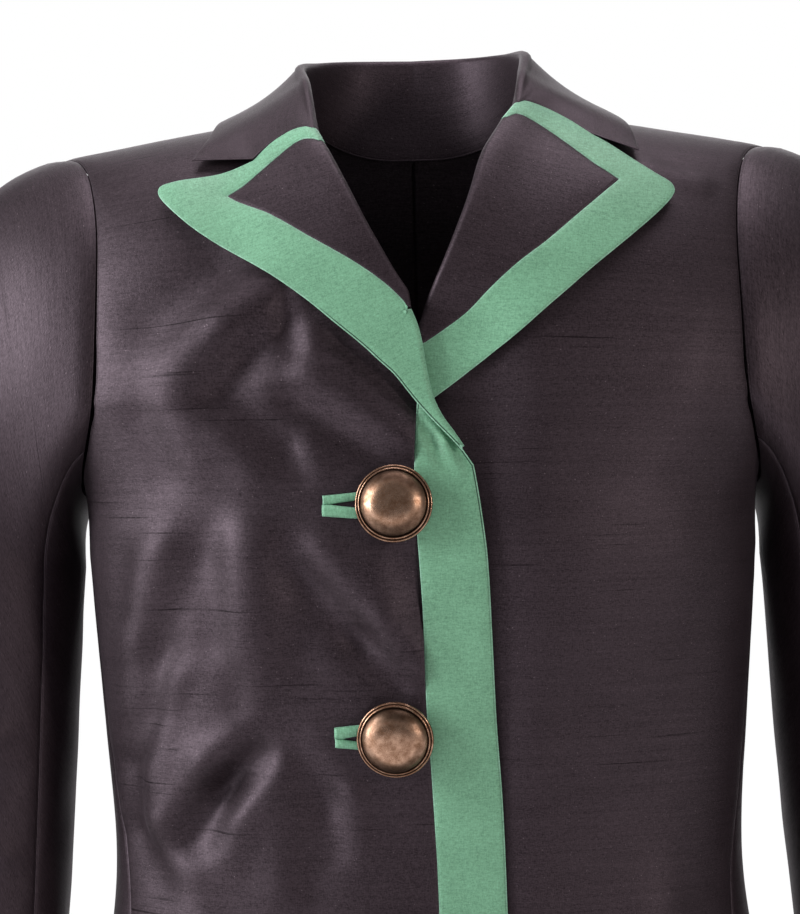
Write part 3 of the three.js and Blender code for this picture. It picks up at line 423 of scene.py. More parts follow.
def near_line(x, z, line):
    """Distance to a line and the level of its nearest point."""
    best, level = np.full(np.shape(x), np.inf), np.zeros(np.shape(x))
    for a, b in zip(line[:-1], line[1:]):
        d = b - a
        t = np.clip(((x - a[0]) * d[0] + (z - a[1]) * d[1]) / max(d @ d, 1e-9), 0, 1)
        r = np.hypot(x - a[0] - d[0] * t, z - a[1] - d[1] * t)
        level = np.where(r < best, a[1] + d[1] * t, level)
        best = np.minimum(best, r)
    return best, level


def half_turn(line, left, width=np.inf):
    """Along a roll line: the half turn up to the lapel, where the lapel starts and where the front ends."""
    t = unit(np.gradient(line, axis=0))
    to_neck = np.stack([t[:, 1], -t[:, 0]] if left else [-t[:, 1], t[:, 0]], axis=1)
    x, z = line.T
    h, out = roll_height(z), np.minimum(roll_out(z), width * 0.45)
    inward = to_neck * out[:, None]
    flat = line - inward
    a, b = under(flat[:, 0], flat[:, 1], h, left)
    n = front_normal(a, b, left)
    foot = np.stack([a, front_y(a, b, left), b], axis=1)
    lean = inward[:, 0] * n[:, 0] + inward[:, 1] * n[:, 2]
    across = unit(np.stack([inward[:, 0], 0 * a, inward[:, 1]], axis=1) - n * lean[:, None])
    phi = np.linspace(0, math.pi, TURN_STEPS + 1)[None, :]
    rise, reach = mix(-WALL, h[:, None], (1 - np.cos(phi)) / 2), out[:, None] * np.sin(phi)
    turn = foot[:, None] + n[:, None] * rise[..., None] + across[:, None] * reach[..., None]
    base = np.stack([a, b], axis=1) - across[:, [0, 2]] * SEAM * 1.3
    return {"turn": turn, "flat": flat, "base": base}


class Sheet:
    """Points, cloth measure and quads of the visible face of one piece of cloth."""

    def __init__(self):
        self.points, self.grain, self.quads, self.count = [], [], [], 0

    def add(self, points, grain):
        shape = points.shape[:-1]
        ids = np.arange(self.count, self.count + int(np.prod(shape))).reshape(shape)
        self.points.append(points.reshape(-1, 3))
        self.grain.append(np.broadcast_to(grain, shape + (2,)).reshape(-1, 2))
        self.count += ids.size
        return ids

    def mesh(self, ids):
        q = np.stack([ids[:-1, :-1], ids[:-1, 1:], ids[1:, 1:], ids[1:, :-1]], axis=-1).reshape(-1, 4)
        self.quads.append(q)
        return self

    def close(self):
        self.points, self.grain = np.concatenate(self.points), np.concatenate(self.grain)
        self.quads = np.concatenate(self.quads)
        return self


def one_net(points, grain):
    sheet = Sheet()
    return sheet.mesh(sheet.add(points, grain)).close()


def turned(points, degrees):
    """The grain of a piece seen from the front whose threads lean this much."""
    xz = points[..., [0, 2]]
    c, s = math.cos(math.radians(degrees)), math.sin(math.radians(degrees))
    return np.stack([xz[..., 0] * c + xz[..., 1] * s, xz[..., 1] * c - xz[..., 0] * s], axis=-1)


def lapel(rungs, roll_upper, left, lean):
    sign, fine = (1 if left else -1), 3
    first = next(i for i in range(15, len(rungs)) if abs(rungs[i, 1] - rungs[i - 1, 1]) < 1) * fine
    rungs = np.hstack([smooth(rungs[:, :2], fine, (CORNER_RUNG, first // fine)),
                       smooth(rungs[:, 2:], fine, (NOTCH_RUNG,))])
    inner, outer = rungs[:, :2], rungs[:, 2:]
    upper = smooth(roll_upper, fine)
    roll = np.concatenate([outer[:1], upper, inner[first:]])

    def place(xz):
        r, level = near_line(xz[..., 0], xz[..., 1], roll)
        h = roll_height(level)
        away = np.maximum(0, r - roll_out(level))
        lift = LAPEL_LIE + (h - LAPEL_LIE) / (1 + (away / 19)**2)
        return lifted(xz[..., 0], xz[..., 1], lift, left)

    width = np.full(len(roll), np.inf)
    width[1 + len(upper):] = np.linalg.norm(inner - outer, axis=1)[first:]
    turns = half_turn(roll, left, width)

    # dark inner part
    corner = CORNER_RUNG * fine
    gorge = shift(inner[:corner + 1], -sign * SEAM * 1.4)
    seam = shift(inner[corner:first - fine + 1], -sign * SEAM * 1.4)
    gorge[-1] = seam[0] = [(gorge[-1, 0] + seam[0, 0]) / 2 - sign * 0.25, inner[corner, 1] - 0.1]
    side = upper.copy()
    side[0], seam[-1] = mix(side[0], side[1], 0.15), mix(seam[-1], seam[-2], 0.1)
    narrow = np.full(1 + len(side) + len(inner) - first, np.inf)
    narrow[1:1 + len(side)] = np.linalg.norm(side - seam, axis=1)
    dark_turns = half_turn(np.concatenate([outer[:1], side, inner[first:]]), left, narrow)
    rows = slice(1, 1 + len(side))
    flat_side = dark_turns["flat"][rows]
    ease = np.arange(fine)[:, None] / fine
    gorge[:fine] = mix(flat_side[0], gorge[fine], ease)
    net = patch(flat_side, seam, gorge, along([flat_side[-1], seam[-1]], shares(gorge)))
    turn, flat = dark_turns["turn"][rows], place(edged(net, "E"))
    flat[:, 0] = turn[:, -1]
    points = np.concatenate([turn[:, :-1], flat], axis=1)
    dark = one_net(points, turned(points, lean))

    # green band: rungs round the corner, with the roll at its first rung and along its lower end
    at_roll = inner.copy()
    at_roll[first:] = turns["flat"][1 + len(upper):]
    net = np.stack([mix(at_roll, outer, s) for s in np.linspace(0, 1, 11)], axis=1)
    for k in (1, 2):
        share = np.linspace(0, 1, net.shape[1])[:, None]
        inside = mix(inner[first - fine], turns["flat"][1 + len(upper)], k / fine)
        net[first - fine + k] = mix(inside, outer[first - fine + k], share)
    net = edged(net, "WE")
    share = np.linalg.norm(net[0] - net[0, 0], axis=1) / np.linalg.norm(net[0, -1] - net[0, 0])
    start = mix(turns["flat"][1], turns["flat"][0], share[:, None])
    net[:fine] = mix(start, net[fine], ease[:, None])
    notch = outer[:NOTCH_RUNG * fine + 1].copy()
    notch[:fine] = mix(turns["flat"][0], notch[fine], ease)
    flat = place(net)
    head = mix(turns["turn"][1][:, None], turns["turn"][0][:, None], share[None, :, None])
    flat[0] = head[-1]
    low = turns["turn"][1 + len(upper):]
    flat[first:, 0] = low[:, -1]
    band = Sheet()
    nets = flat, head[:-1], low[:, :-1]
    main, head_ids, low_ids = [band.add(p, turned(p, lean + 8)) for p in nets]
    band.mesh(main).mesh(np.concatenate([head_ids, main[:1]]))
    band.mesh(np.concatenate([low_ids, main[first:, :1]], axis=1)).close()
    return {"dark": dark, "band": band, "turns": turns, "place": place, "gorge": notch,
            "band_top": 1 + len(upper) + BAND_TOP_RUNG * fine - first,
            "ends": [turns["turn"][k].mean(axis=0) for k in (0, 1, len(upper), len(upper) + 1, -1)]}


right = lapel(BAND_RIGHT, ROLL_RIGHT, False, 12)
left = lapel(BAND_LEFT, ROLL_LEFT, True, -14)
ROLL_ENDS = np.array(right["ends"] + left["ends"])

# ---- body panels
SEAM_ROWS, COLUMNS = 112, 46
GAP = SEAM / 2 / 1.9


def seam_line(column, side, gap, behind=False):
    angle = (180 - SIDE_SEAM[:, column] if behind else SIDE_SEAM[:, column]) + gap
    around = np.interp(angle, RING_ANGLE, RING_RUN)
    return even(smooth(np.stack([side * around, SIDE_SEAM[:, 0]], axis=1), 4), SEAM_ROWS)


def panel(inner, outer, at, columns=COLUMNS):
    """Cloth between its inner line and its outer line, both from the hem up."""
    net = np.stack([mix(inner, outer, s) for s in np.linspace(0, 1, columns + 1)], axis=1)
    net = edged(net, "SNWE")
    return one_net(at(net[..., 0], net[..., 1]), net)


def torso(around, up):
    return on_cloth(1, around, up)


def sunk_torso(around, up):
    p = torso(around, up)
    p[..., 1] += sunk(p[..., 0], p[..., 2])
    return p


def arm_line(x, side, count):
    line = cloth_line(side * (ARMHOLE[:, x] - SEAM / 2), ARMHOLE[:, 0])
    return even(smooth(line, 4), count)


def front(inner_low, inner_high, side, at):
    neck = even([inner_high[-1], cloth_line([side * SIDE_NECK], [TOP])[0]], 16)
    inner = np.concatenate([inner_low, inner_high[1:], neck[1:]])
    seam = seam_line(1, side, -GAP)
    arm = arm_line(1, side, 200)
    arm[0] = seam[-1]
    outer = np.concatenate([seam, even(arm, len(inner) - len(seam))[1:]])
    return panel(inner, outer, at)


def front_right():
    low = even(front_line(smooth(shift(BAND_SEAM, SEAM / 2), 4)), SEAM_ROWS)
    roll = front_line(right["turns"]["base"][:right["band_top"] + 1][::-1])
    return front(low, np.concatenate([even([low[-1], roll[0]], 3), roll[1:]]), -1, torso)


def front_left():
    roll = front_line(left["turns"]["base"][::-1])
    low = even(np.concatenate([front_line(smooth(EDGE_LEFT, 4)), roll[:1]]), SEAM_ROWS)
    return front(low, roll, 1, sunk_torso)


def front_band():
    inner = even(front_line(smooth(shift(BAND_SEAM, -SEAM / 2), 4)), SEAM_ROWS)
    roll = front_line(right["turns"]["base"][right["band_top"]:][::-1])
    edge = even(front_line(smooth(EDGE_RIGHT, 4)), SEAM_ROWS - len(roll))
    outer = np.concatenate([edge, roll])
    inner[-1, 1] -= 0.6
    outer[-1] = mix(outer[-1], outer[-2], 0.2)
    return panel(inner, outer, torso, 12)


def back(side):
    def centre(station):
        return cloth_line([0], [station])[0]

    def at(around, up):
        p = body(side, 180 - np.interp(around, RING_RUN, RING_ANGLE), station_from(up))
        p[..., 0] -= side * 0.08 * (np.abs(p[..., 0]) < 0.02)
        return p

    neck = smooth([cloth_line([x], [s])[0] for x, s in BACK_NECK], 4)
    inner = np.concatenate([
        even([centre(HEM), centre(UNDERARM)], SEAM_ROWS),
        even([centre(UNDERARM), centre(BACK_NECK[0][1])], 44)[1:], even(neck, 24)[1:]])
    seam, arm = seam_line(2, 1, -GAP), arm_line(2, 1, 68)
    outer = np.concatenate([seam, arm[1:]])
    return panel(inner, outer, at)


def side_panel(side):
    inner, outer = seam_line(1, 1, GAP), seam_line(2, 1, -GAP, behind=True)
    columns = 24
    share = np.linspace(0, 1, columns + 1)
    top = np.stack([mix(inner[-1], outer[-1], s) - [0, 7 * math.sin(math.pi * s)] for s in share])
    net = edged(patch(inner, outer, even([inner[0], outer[0]], columns), top), "SNWE")
    return one_net(on_cloth(side, net[..., 0], net[..., 1]), net * [side, 1])


# ---- sleeves
SLEEVE_ROUND = 330  # millimetres of cloth round a sleeve


def armhole(side, count):
    """Loop from the underarm up the front, over the shoulder and down the back."""
    def dip(angle):
        return UNDERARM - 7 * math.sin(math.pi * (angle - 81) / 25)
    halves = []
    for column, angles, behind in ((1, (90, 85), False), (2, (90, 98), True)):
        low = [body(side, a, dip(a)) for a in angles]
        turn = angle_at(ARMHOLE[:, column], ARMHOLE[:, 0])
        high = body(side, 180 - turn if behind else turn, ARMHOLE[:, 0])
        halves.append(even(smooth(np.concatenate([low, high]), 4, (len(angles),)), count // 2))
    return np.concatenate([halves[0], halves[1][::-1][1:]])


def sleeve(side):
    count = 256
    loop = armhole(side, count)
    top, cuff = SLEEVE[0, 0], SLEEVE[-1, 0]

    def ring(z, f):
        a = 2 * math.pi * f
        return np.stack([side * (read(SLEEVE, z, 1) - read(SLEEVE, z, 3) * np.cos(a)),
                         read(SLEEVE, z, 2) - read(SLEEVE, z, 4) * np.sin(a), z + 0 * f], axis=-1)

    def point(f, v):
        place = np.clip((f % 1.0001) * count, 0, count - 1e-6)
        i = place.astype(int)
        a = mix(loop[i], loop[i + 1], (place - i)[..., None])
        b, high = ring(top + 0 * f, f), (1 - np.cos(2 * math.pi * f)) / 2
        away = unit(np.stack([0 * f, a[..., 1], a[..., 2] + 115], axis=-1))
        fall = -0.14 * high - (1 - high) * 0.75
        t0 = unit(np.stack([side + 0 * f, away[..., 1] * 0.22 * high, fall], axis=-1))
        start = a + np.stack([side * (SEAM + 0.5 * (1 - high)), 0 * f, 0 * f], axis=-1)
        reach = np.linalg.norm(b - start, axis=-1)
        m0 = t0 * (reach * mix(0.55, 0.95, high))[..., None]
        m1 = np.stack([0 * f, 0 * f, -reach * mix(0.8, 1.3, high)], axis=-1)
        s = np.minimum(v, 1)[..., None]
        cap = curve(s, start, m0, b, m1)
        return np.where(v[..., None] > 1, ring(mix(top, cuff, np.maximum(v - 1, 0)), f), cap)

    rows = np.concatenate([[0, 0.003, 0.008, 0.018], np.linspace(0.04, 1, 34)[:-1],
                           np.linspace(1, 2, 80)[:-1], [1.9975, 1.9987, 2]])
    seam, g, parts = 0.13, 0.0005, []
    for f0, f1, columns in ((seam + g, 1 - seam - g, 70), (1 - seam + g, 1 + seam - g, 28)):
        f = np.concatenate([[f0, f0 + 0.0015, f0 + 0.004], np.linspace(f0 + 0.01, f1 - 0.01, columns),
                            [f1 - 0.004, f1 - 0.0015, f1]])
        F, V = np.meshgrid(f, rows)
        p = point(F % 1.0 if f1 > 1 else F, V)
        down = np.stack([run_of(column) for column in p.transpose(1, 0, 2)], axis=1)
        parts.append(one_net(p, np.stack([(F - 0.5) * SLEEVE_ROUND, -down], axis=-1)))
    return parts


# ---- collar
def over_point(x, turn, lift):
    def at(xx, g):
        a, n, w = np.radians(g), read(BODY, CHEST, SQUARE), read(BODY, CHEST, WIDTH)
        k = np.maximum(0, 1 - (np.abs(xx) / w)**n)**(1 / n)
        d = np.where(g > 0, read(BODY, CHEST, FRONT), read(BODY, CHEST, BACK)) * k
        return np.stack([xx, -d * np.sin(a), CHEST + (shoulder_top(xx) - CHEST) * np.cos(a)], axis=-1)
    n = unit(np.cross(at(x, turn + 0.5) - at(x, turn - 0.5), at(x + 0.5, turn) - at(x - 0.5, turn)))
    return at(x, turn) + n * np.where(n[..., 2:] < 0, -lift, lift)


COLLAR_COLUMNS = np.concatenate([
    np.linspace(0, 5, TURN_STEPS + 1), np.linspace(5, 13, 33)[1:-1], [12.9, 12.96, 13]])


def collar_half(side, table, lap, tip):
    base = lap["turns"]["base"][0]
    rear = smooth([cloth_line([max(x, SEAM / 2)], [s])[0] for x, s in BACK_NECK], 4)
    rear = even(rear, NECK_BACK * 8)
    rear = body(1, 180 - np.interp(rear[:, 0], RING_RUN, RING_ANGLE), station_from(rear[:, 1]))
    ahead = even([cloth_line([SIDE_NECK], [TOP])[0],
                  front_line([[abs(base[0]), base[1]]])[0]], NECK_FRONT * 8)
    ahead = on_cloth(1, ahead[:, 0], ahead[:, 1])
    neck = np.concatenate([rear, ahead[1:]])
    last = NECK_BACK + NECK_FRONT
    heading = np.gradient(neck, axis=0)
    heading[0] = [1, 0, 0]
    inward = unit(np.stack([heading[:, 1], -heading[:, 0], 0 * heading[:, 0]], axis=1))
    inward = inward * np.where(inward[:, :1] > 0, -1, 1)
    inward[0] = [0, -1, 0]
    feet = neck + inward * (WALL + 1.25) - [0, 0, 1.2]
    c = COLLAR_COLUMNS

    def foot(s):
        return np.array([np.interp(s * 8, np.arange(len(feet)), column) for column in feet.T])

    def row(s):
        crest = np.array([read(table, s, k) for k in (1, 2, 3)])
        edge = over_point(read(table, s, 4), read(table, s, 5), COLLAR_LIE)
        out = unit(np.array([edge[0] - crest[0], edge[1] - crest[1], 0]))
        c_in, c_out, push = crest - out * COLLAR_FOLD, crest + out * COLLAR_FOLD, read(table, s, 6)
        bend = np.clip((c - 3) / 2, 0, 1) * math.pi
        stand = mix(foot(s), c_in, np.clip(c / 3, 0, 1)[:, None])
        crown = crest - out * (COLLAR_FOLD * np.cos(bend))[:, None]
        crown = crown + np.outer(np.sin(bend), [0, 0, COLLAR_FOLD])
        middle = mix(c_out, edge, 0.5) + out * push * 0.5 + np.array([0, 0, push * 0.8])
        t = np.clip((c - 5) / 8, 0, 1)[:, None]
        fall = mix(mix(c_out, middle, t), mix(middle, edge, t), t)
        p = np.where(c[:, None] <= 3, stand, np.where(c[:, None] <= 5, crown, fall))
        return p * [side, 1, 1]

    turn = lap["turns"]["turn"]
    end = turn[0] + unit(turn[0] - turn[1]) * SEAM * 2
    gorge = shift(lap["gorge"], SEAM * 1.4 * side)
    line = np.concatenate([gorge, even([gorge[-1], tip], 9)[1:]])
    places = (c[TURN_STEPS + 1:] - 5) * 3
    flat = np.stack([np.interp(places, np.arange(len(line)), k) for k in line.T], axis=1)
    final = np.concatenate([end, lap["place"](flat)])
    stations = np.concatenate([
        np.linspace(0, COLLAR_LAST, 57), np.linspace(COLLAR_LAST, last, 25)[1:-1],
        [last - 0.06, last - 0.025, last]])
    span, start = last - COLLAR_LAST, row(COLLAR_LAST)
    before = (start - row(COLLAR_LAST - 0.25)) * 4 * span
    rows = []
    for s in stations:
        if s <= COLLAR_LAST:
            rows.append(row(s))
            continue
        t = (s - COLLAR_LAST) / span
        p = curve(t, start, before, final, final - start)
        if s < last:
            p[0] = foot(s) * [side, 1, 1]
        rows.append(p)
    return np.array(rows)


def collar():
    rows = np.concatenate([collar_half(-1, COLLAR_RIGHT, right, COLLAR_TIP_RIGHT)[:0:-1],
                           collar_half(1, COLLAR_LEFT, left, COLLAR_TIP_LEFT)])
    u, v = run_of(rows[:, TURN_STEPS]), np.array([run_of(row) for row in rows])
    return one_net(rows, np.stack(np.broadcast_arrays(u[:, None] - u[-1] / 2, -v), axis=-1))


# ---- making a piece of cloth
def away_from_border(points, quads):
    """Distance of each point to the piece's own border."""
    edges = np.concatenate([quads[:, [0, 1]], quads[:, [1, 2]], quads[:, [2, 3]], quads[:, [3, 0]]])
    key = np.sort(edges, axis=1)
    _, first_seen, number = np.unique(key, axis=0, return_index=True, return_counts=True)
    border = edges[first_seen[number == 1]]
    a, d = points[border[:, 0]], points[border[:, 1]] - points[border[:, 0]]
    size = np.maximum((d * d).sum(axis=1), 1e-9)
    near = np.empty(len(points))
    for k in range(0, len(points), 2000):
        q = points[k:k + 2000, None] - a[None]
        t = np.clip((q * d).sum(axis=2) / size, 0, 1)
        near[k:k + 2000] = np.linalg.norm(q - d * t[..., None], axis=2).min(axis=1)
    return near, border


def lie_of(points, quads):
    """Mean normal at each point."""
    n = np.zeros_like(points)
    for k in range(4):
        a, b, c = (points[quads[:, (k + j) % 4]] for j in (3, 0, 1))
        np.add.at(n, quads[:, k], unit(np.cross(c - b, a - b)))
    return unit(n)


DOUBLED = np.concatenate([BAND_RIGHT[15:, 2:], EDGE_RIGHT[::-1]])


def doubled_edge(name, p, near):
    """1 beside the right front's edge, where the under layer shows as a second edge."""
    if name not in ("lapel_band_right_silk", "front_band_silk"):
        return np.zeros(len(p))
    off, level = near_line(p[:, 0], p[:, 2], DOUBLED)
    at_edge = soft((near / np.maximum(off, 0.2) - 0.55) / 0.2)
    fading = mix(0.25, 1, soft((level + 250) / 30))
    return soft((5 - off) / 2) * soft((-110 - level) / 14) * at_edge * fading


def attribute(mesh, name, kind, values):
    layer = mesh.attributes.new(name, kind, "POINT")
    layer.data.foreach_set("vector" if kind == "FLOAT_VECTOR" else "value", np.ravel(values))


def add_object(name, data):
    thing = bpy.data.objects.new(name, data)
    bpy.context.scene.collection.objects.link(thing)
    return thing


def new_mesh(name, points, faces, sharp):
    mesh = bpy.data.meshes.new(name)
    mesh.from_pydata((points * 0.001).tolist(), [], faces)
    mesh.shade_smooth()
    mesh.set_sharp_from_angle(angle=math.radians(sharp))
    return mesh


def cloth(name, sheet, outward, shape, thickness=WALL):
    """Closed wall from a visible face, pressed and creased by shape(points, grain, border distance)."""
    p, quads = sheet.points, sheet.quads
    n = lie_of(p, quads)
    if (n * outward(p)).sum() < 0:
        quads, n = quads[:, ::-1], -n
    near, rim = away_from_border(p, quads)
    rounding = 0.42 * np.clip(1 - near / 1.1, 0, 1)**2
    roll_end = np.linalg.norm(p[:, None] - ROLL_ENDS[None], axis=2).min(axis=1)
    calm = soft((roll_end - 3) / 5) if name.startswith(("lapel", "collar")) else 1
    rounding = rounding * calm
    twice = doubled_edge(name, p, near)
    step = 0.35 * twice * np.exp(-((near - 1.0) / 0.4)**2)
    p = p + n * (shape(p, sheet.grain, near) * calm - rounding - step)[:, None]
    n = lie_of(p, quads)
    inner = p - n * (thickness - 2 * rounding)[:, None]
    count = len(p)
    rim = np.stack([rim[:, 1], rim[:, 0], rim[:, 0] + count, rim[:, 1] + count], axis=1)
    faces = np.concatenate([quads, quads[:, ::-1] + count, rim])
    mesh = new_mesh(name, np.concatenate([p, inner]), faces.tolist(), 62)
    own_place = sum(map(ord, name)) % 97 * 3.7
    flat = np.column_stack([sheet.grain, np.full(count, own_place)])
    attribute(mesh, "grain", "FLOAT_VECTOR", [flat, flat + [0, 0, 40]])
    attribute(mesh, "edge", "FLOAT", [near, near + 30])
    attribute(mesh, "doubled", "FLOAT", [twice, 0 * twice])
    return add_object(name, mesh)


# ---- how each piece lies
HEM_TURN = 34  # height of the stitched hem


def seam_dip(near, deep=0.45):
    return -deep * np.exp(-(near / 3.2)**2)


def puckers(p, near, height=0.22):
    return height * ripple(p, (7, 7, 9), 3) * np.exp(-near / 9)


def holes_calm(x, z):
    """0 at the buttonholes and buttons, 1 away from them."""
    calm = np.ones(len(x))
    for (bx, bz), end in zip(BUTTONS, BUTTONHOLE_END):
        r, _ = near_line(x, z, np.array([[end, bz], [bx + 8, bz]], float))
        calm *= 1 - np.exp(-(r / 16)**2)
    return calm


def on_body(p, grain, near):
    x, y, z = p.T
    ahead, behind = soft((-y - 10) / 50), soft((y - 10) / 50)
    calm = np.where(y < 0, holes_calm(x, z), 1)
    lie = folds(FRONT_FOLDS, x, z) * ahead * calm + folds(BACK_FOLDS, x, z) * behind
    flank = 1 - ahead * 0.5 - behind * 0.5
    lie += slopes(RIGHT_SLOPES, x, z) * ahead * calm
    lie += ripple(p, (46, 60, 120), 1) * calm * soft((-70 - z) / 60) * mix(0.4, 1.5, flank)
    lie += 0.16 * ripple(p, (19, 19, 34), 2) * calm
    lie = np.where(lie > 3, 3 + (lie - 3) * 0.6, lie)
    lie += 0.5 * np.exp(-((z - HEM - HEM_TURN) / 3)**2) - 0.2 * soft((z - HEM - HEM_TURN) / 4)
    return lie + puckers(p, near) + seam_dip(near)


def on_band(p, grain, near):
    x, _, z = p.T
    lie = folds(BAND_FOLDS, x, z) + 0.45 * ripple(p, (24, 24, 40), 5) * holes_calm(x, z)
    return lie + puckers(p, near, 0.14) + seam_dip(near, 0.3)


def on_lapel(p, grain, near):
    lie = slopes(LAPEL_SLOPES, p[:, 0], p[:, 2]) + 0.5 * ripple(p, (44, 44, 44), 7) * soft(near / 10)
    return lie + puckers(p, near, 0.1) + seam_dip(near, 0.18)


def on_left_lapel(p, grain, near):
    """The end that lies beneath the right front sinks out of its way."""
    hidden = np.interp(-p[:, 2], -BAND_RIGHT[22:, 1], BAND_RIGHT[22:, 0]) - 4 - p[:, 0]
    return on_lapel(p, grain, near) - 3.4 * soft(hidden / 8) * soft((-122 - p[:, 2]) / 8)


def on_sleeve(side):
    def lie(p, grain, near):
        around = grain[:, 0] + np.where(grain[:, 0] > SLEEVE_ROUND / 2, -SLEEVE_ROUND, 0)
        h = folds(SLEEVE_FOLDS, around * (1 if side > 0 else 1.06), p[:, 2] + (0 if side > 0 else 9))
        h += 1.3 * ripple(p, (40, 46, 90), 9 + side) + 0.4 * ripple(p, (18, 18, 26), 11)
        down = -grain[:, 1]
        h *= soft(down / 60) * soft((p[:, 2] - SLEEVE[-1, 0]) / 26)
        h += 0.5 * np.exp(-((down - 9) / 7)**2) * soft((p[:, 2] + 190) / 60)
        return h + puckers(p, near, 0.3) + seam_dip(near)
    return lie


def on_collar(p, grain, near):
    lie = 0.5 * ripple(p, (40, 40, 40), 13) * soft(near / 12)
    return lie + puckers(p, near, 0.1) + seam_dip(near, 0.15)


# ---- shader pieces
class Nodes:
    """Short way to place and join shader nodes in one tree."""

    def __init__(self, tree):
        self.tree = tree

    def put(self, kind, *inputs, out=0, **settings):
        node = self.tree.nodes.new("ShaderNode" + kind)
        for key in [k for k in settings if hasattr(node, k)]:
            setattr(node, key, settings.pop(key))
        self.fill(node, dict(enumerate(inputs)))
        self.fill(node, {key.replace("_", " "): value for key, value in settings.items()})
        return node.outputs[out]

    def fill(self, node, values):
        """Set or join these inputs of a node."""
        for socket, value in values.items():
            if isinstance(value, bpy.types.NodeSocket):
                self.tree.links.new(value, node.inputs[socket])
            elif value is not None:
                node.inputs[socket].default_value = value

    def math(self, operation, a, b=None, c=None):
        return self.put("Math", a, b, c, operation=operation)

    def times(self, a, b):
        return self.math("MULTIPLY", a, b)

    def plus(self, a, b):
        return self.math("ADD", a, b)

    def stretch(self, vector, by):
        return self.put("VectorMath", vector, by, operation="MULTIPLY")

    def noise(self, vector, scale=1.0, detail=2.0, rough=0.5):
        return self.put("TexNoise", Vector=vector, Scale=scale, Detail=detail, Roughness=rough)

    def range(self, value, low, high, to_low=0.0, to_high=1.0):
        return self.put("MapRange", value, low, high, to_low, to_high)

    def blend(self, share, a, b):
        node = self.tree.nodes.new("ShaderNodeMix")
        node.data_type = "RGBA"
        self.fill(node, {0: share, 6: a, 7: b})
        return node.outputs[2]


def new_group(name, inputs, outputs):
    tree = bpy.data.node_groups.new(name, "ShaderNodeTree")
    for way, sockets in (("INPUT", inputs), ("OUTPUT", outputs)):
        for label, kind in sockets:
            tree.interface.new_socket(label, in_out=way, socket_type="NodeSocket" + kind)
    return Nodes(tree), tree.nodes.new("NodeGroupInput").outputs, tree.nodes.new("NodeGroupOutput")


def new_material(name):
    material = bpy.data.materials.new(name)
    material.use_nodes = True
    return material, Nodes(material.node_tree), material.node_tree.nodes["Principled BSDF"]


def slubbed_silk():
    """Dupioni weave: crossing threads, thick dark slubs, uneven dye and specks of lint."""
    n, given, result = new_group(
        "slubbed_silk",
        [("Grain", "Vector"), ("Contrast", "Float"), ("Slubs", "Float"), ("Lint", "Float")],
        [("Shade", "Float"), ("Height", "Float"), ("Specks", "Float")])
    grain, contrast, slubs, lint = [given[k] for k in range(4)]
    weft = n.noise(n.stretch(grain, (0.34, 1.5, 1)), detail=3, rough=0.65)
    warp = n.noise(n.stretch(grain, (1.6, 0.4, 1)), detail=2, rough=0.6)
    nap = n.noise(n.stretch(grain, (1.3, 1.3, 1)), detail=2, rough=0.7)
    dye = n.noise(n.stretch(grain, (0.03, 0.05, 1)), detail=3, rough=0.55)
    rows = n.noise(n.stretch(grain, (0.012, 0.5, 1)), detail=3, rough=0.6)
    thick = n.noise(n.stretch(grain, (0.012, 0.6, 1)), detail=1)
    rare = n.noise(n.stretch(grain, (0.016, 0.05, 3)), detail=1)
    slub = n.times(n.range(thick, 0.68, 0.76), n.range(rare, 0.5, 0.62))
    slub = n.times(slub, slubs)
    cell = n.put("TexVoronoi", Vector=n.stretch(grain, (0.42, 0.42, 1)), Scale=1.0, Randomness=1.0)
    pick = n.noise(n.stretch(grain, (0.31, 0.29, 1)), detail=1)
    dot = n.times(n.range(cell, 0.16, 0.05), n.range(pick, 0.5, 0.66))
    specks = n.times(dot, lint)
    threads = n.times(n.math("SUBTRACT", weft, 0.5), 1.3)
    for yarn, share in ((warp, 0.8), (nap, 1.2)):
        threads = n.plus(threads, n.times(n.math("SUBTRACT", yarn, 0.5), share))
    shade = n.math("MULTIPLY_ADD", threads, contrast, 1.0)
    shade = n.plus(shade, n.range(dye, 0.3, 0.7, -0.07, 0.07))
    shade = n.plus(shade, n.times(n.range(rows, 0.3, 0.7, -0.09, 0.09), slubs))
    shade = n.times(shade, n.math("MULTIPLY_ADD", slub, -0.6, 1.0))
    height = n.math("MULTIPLY_ADD", weft, 0.13, n.times(warp, 0.07))
    height = n.math("MULTIPLY_ADD", nap, 0.08, height)
    height = n.math("MULTIPLY_ADD", slub, 0.06, height)
    n.fill(result, {"Shade": shade, "Height": height, "Specks": specks})
    return n.tree


def pressed_edge():
    """Rubbed wear and a painted highlight on a pressed edge, and a painted line of shade beside it, deep at
    a doubled edge.
    """
    n, given, result = new_group(
        "pressed_edge", [("Edge", "Float"), ("Doubled", "Float"), ("Grain", "Vector")],
        [("Shade", "Float"), ("Height", "Float"), ("Wear_and_highlight", "Float")])
    edge, doubled, grain = [given[k] for k in range(3)]
    patchy = n.noise(n.stretch(grain, (0.2, 0.2, 1)), detail=2)
    # patchy along the edge: partly rubbed wear, partly a painted highlight where the edge catches the light
    wear_and_highlight = n.times(n.range(edge, 0.95, 0.3), n.range(patchy, 0.35, 0.65, 0.35, 1.0))
    # painted shade: a dark line about a millimetre in from the edge, much darker where the doubled
    # attribute marks a second edge
    line = n.times(n.range(edge, 0.5, 0.8), n.range(edge, 1.4, 1.0))
    shade = n.math("SUBTRACT", 1.0, n.times(line, n.math("MULTIPLY_ADD", doubled, 0.78, 0.08)))
    n.fill(result, {"Shade": shade, "Height": n.times(line, -0.10), "Wear_and_highlight": wear_and_highlight})
    return n.tree


SILK, EDGE = slubbed_silk(), pressed_edge()


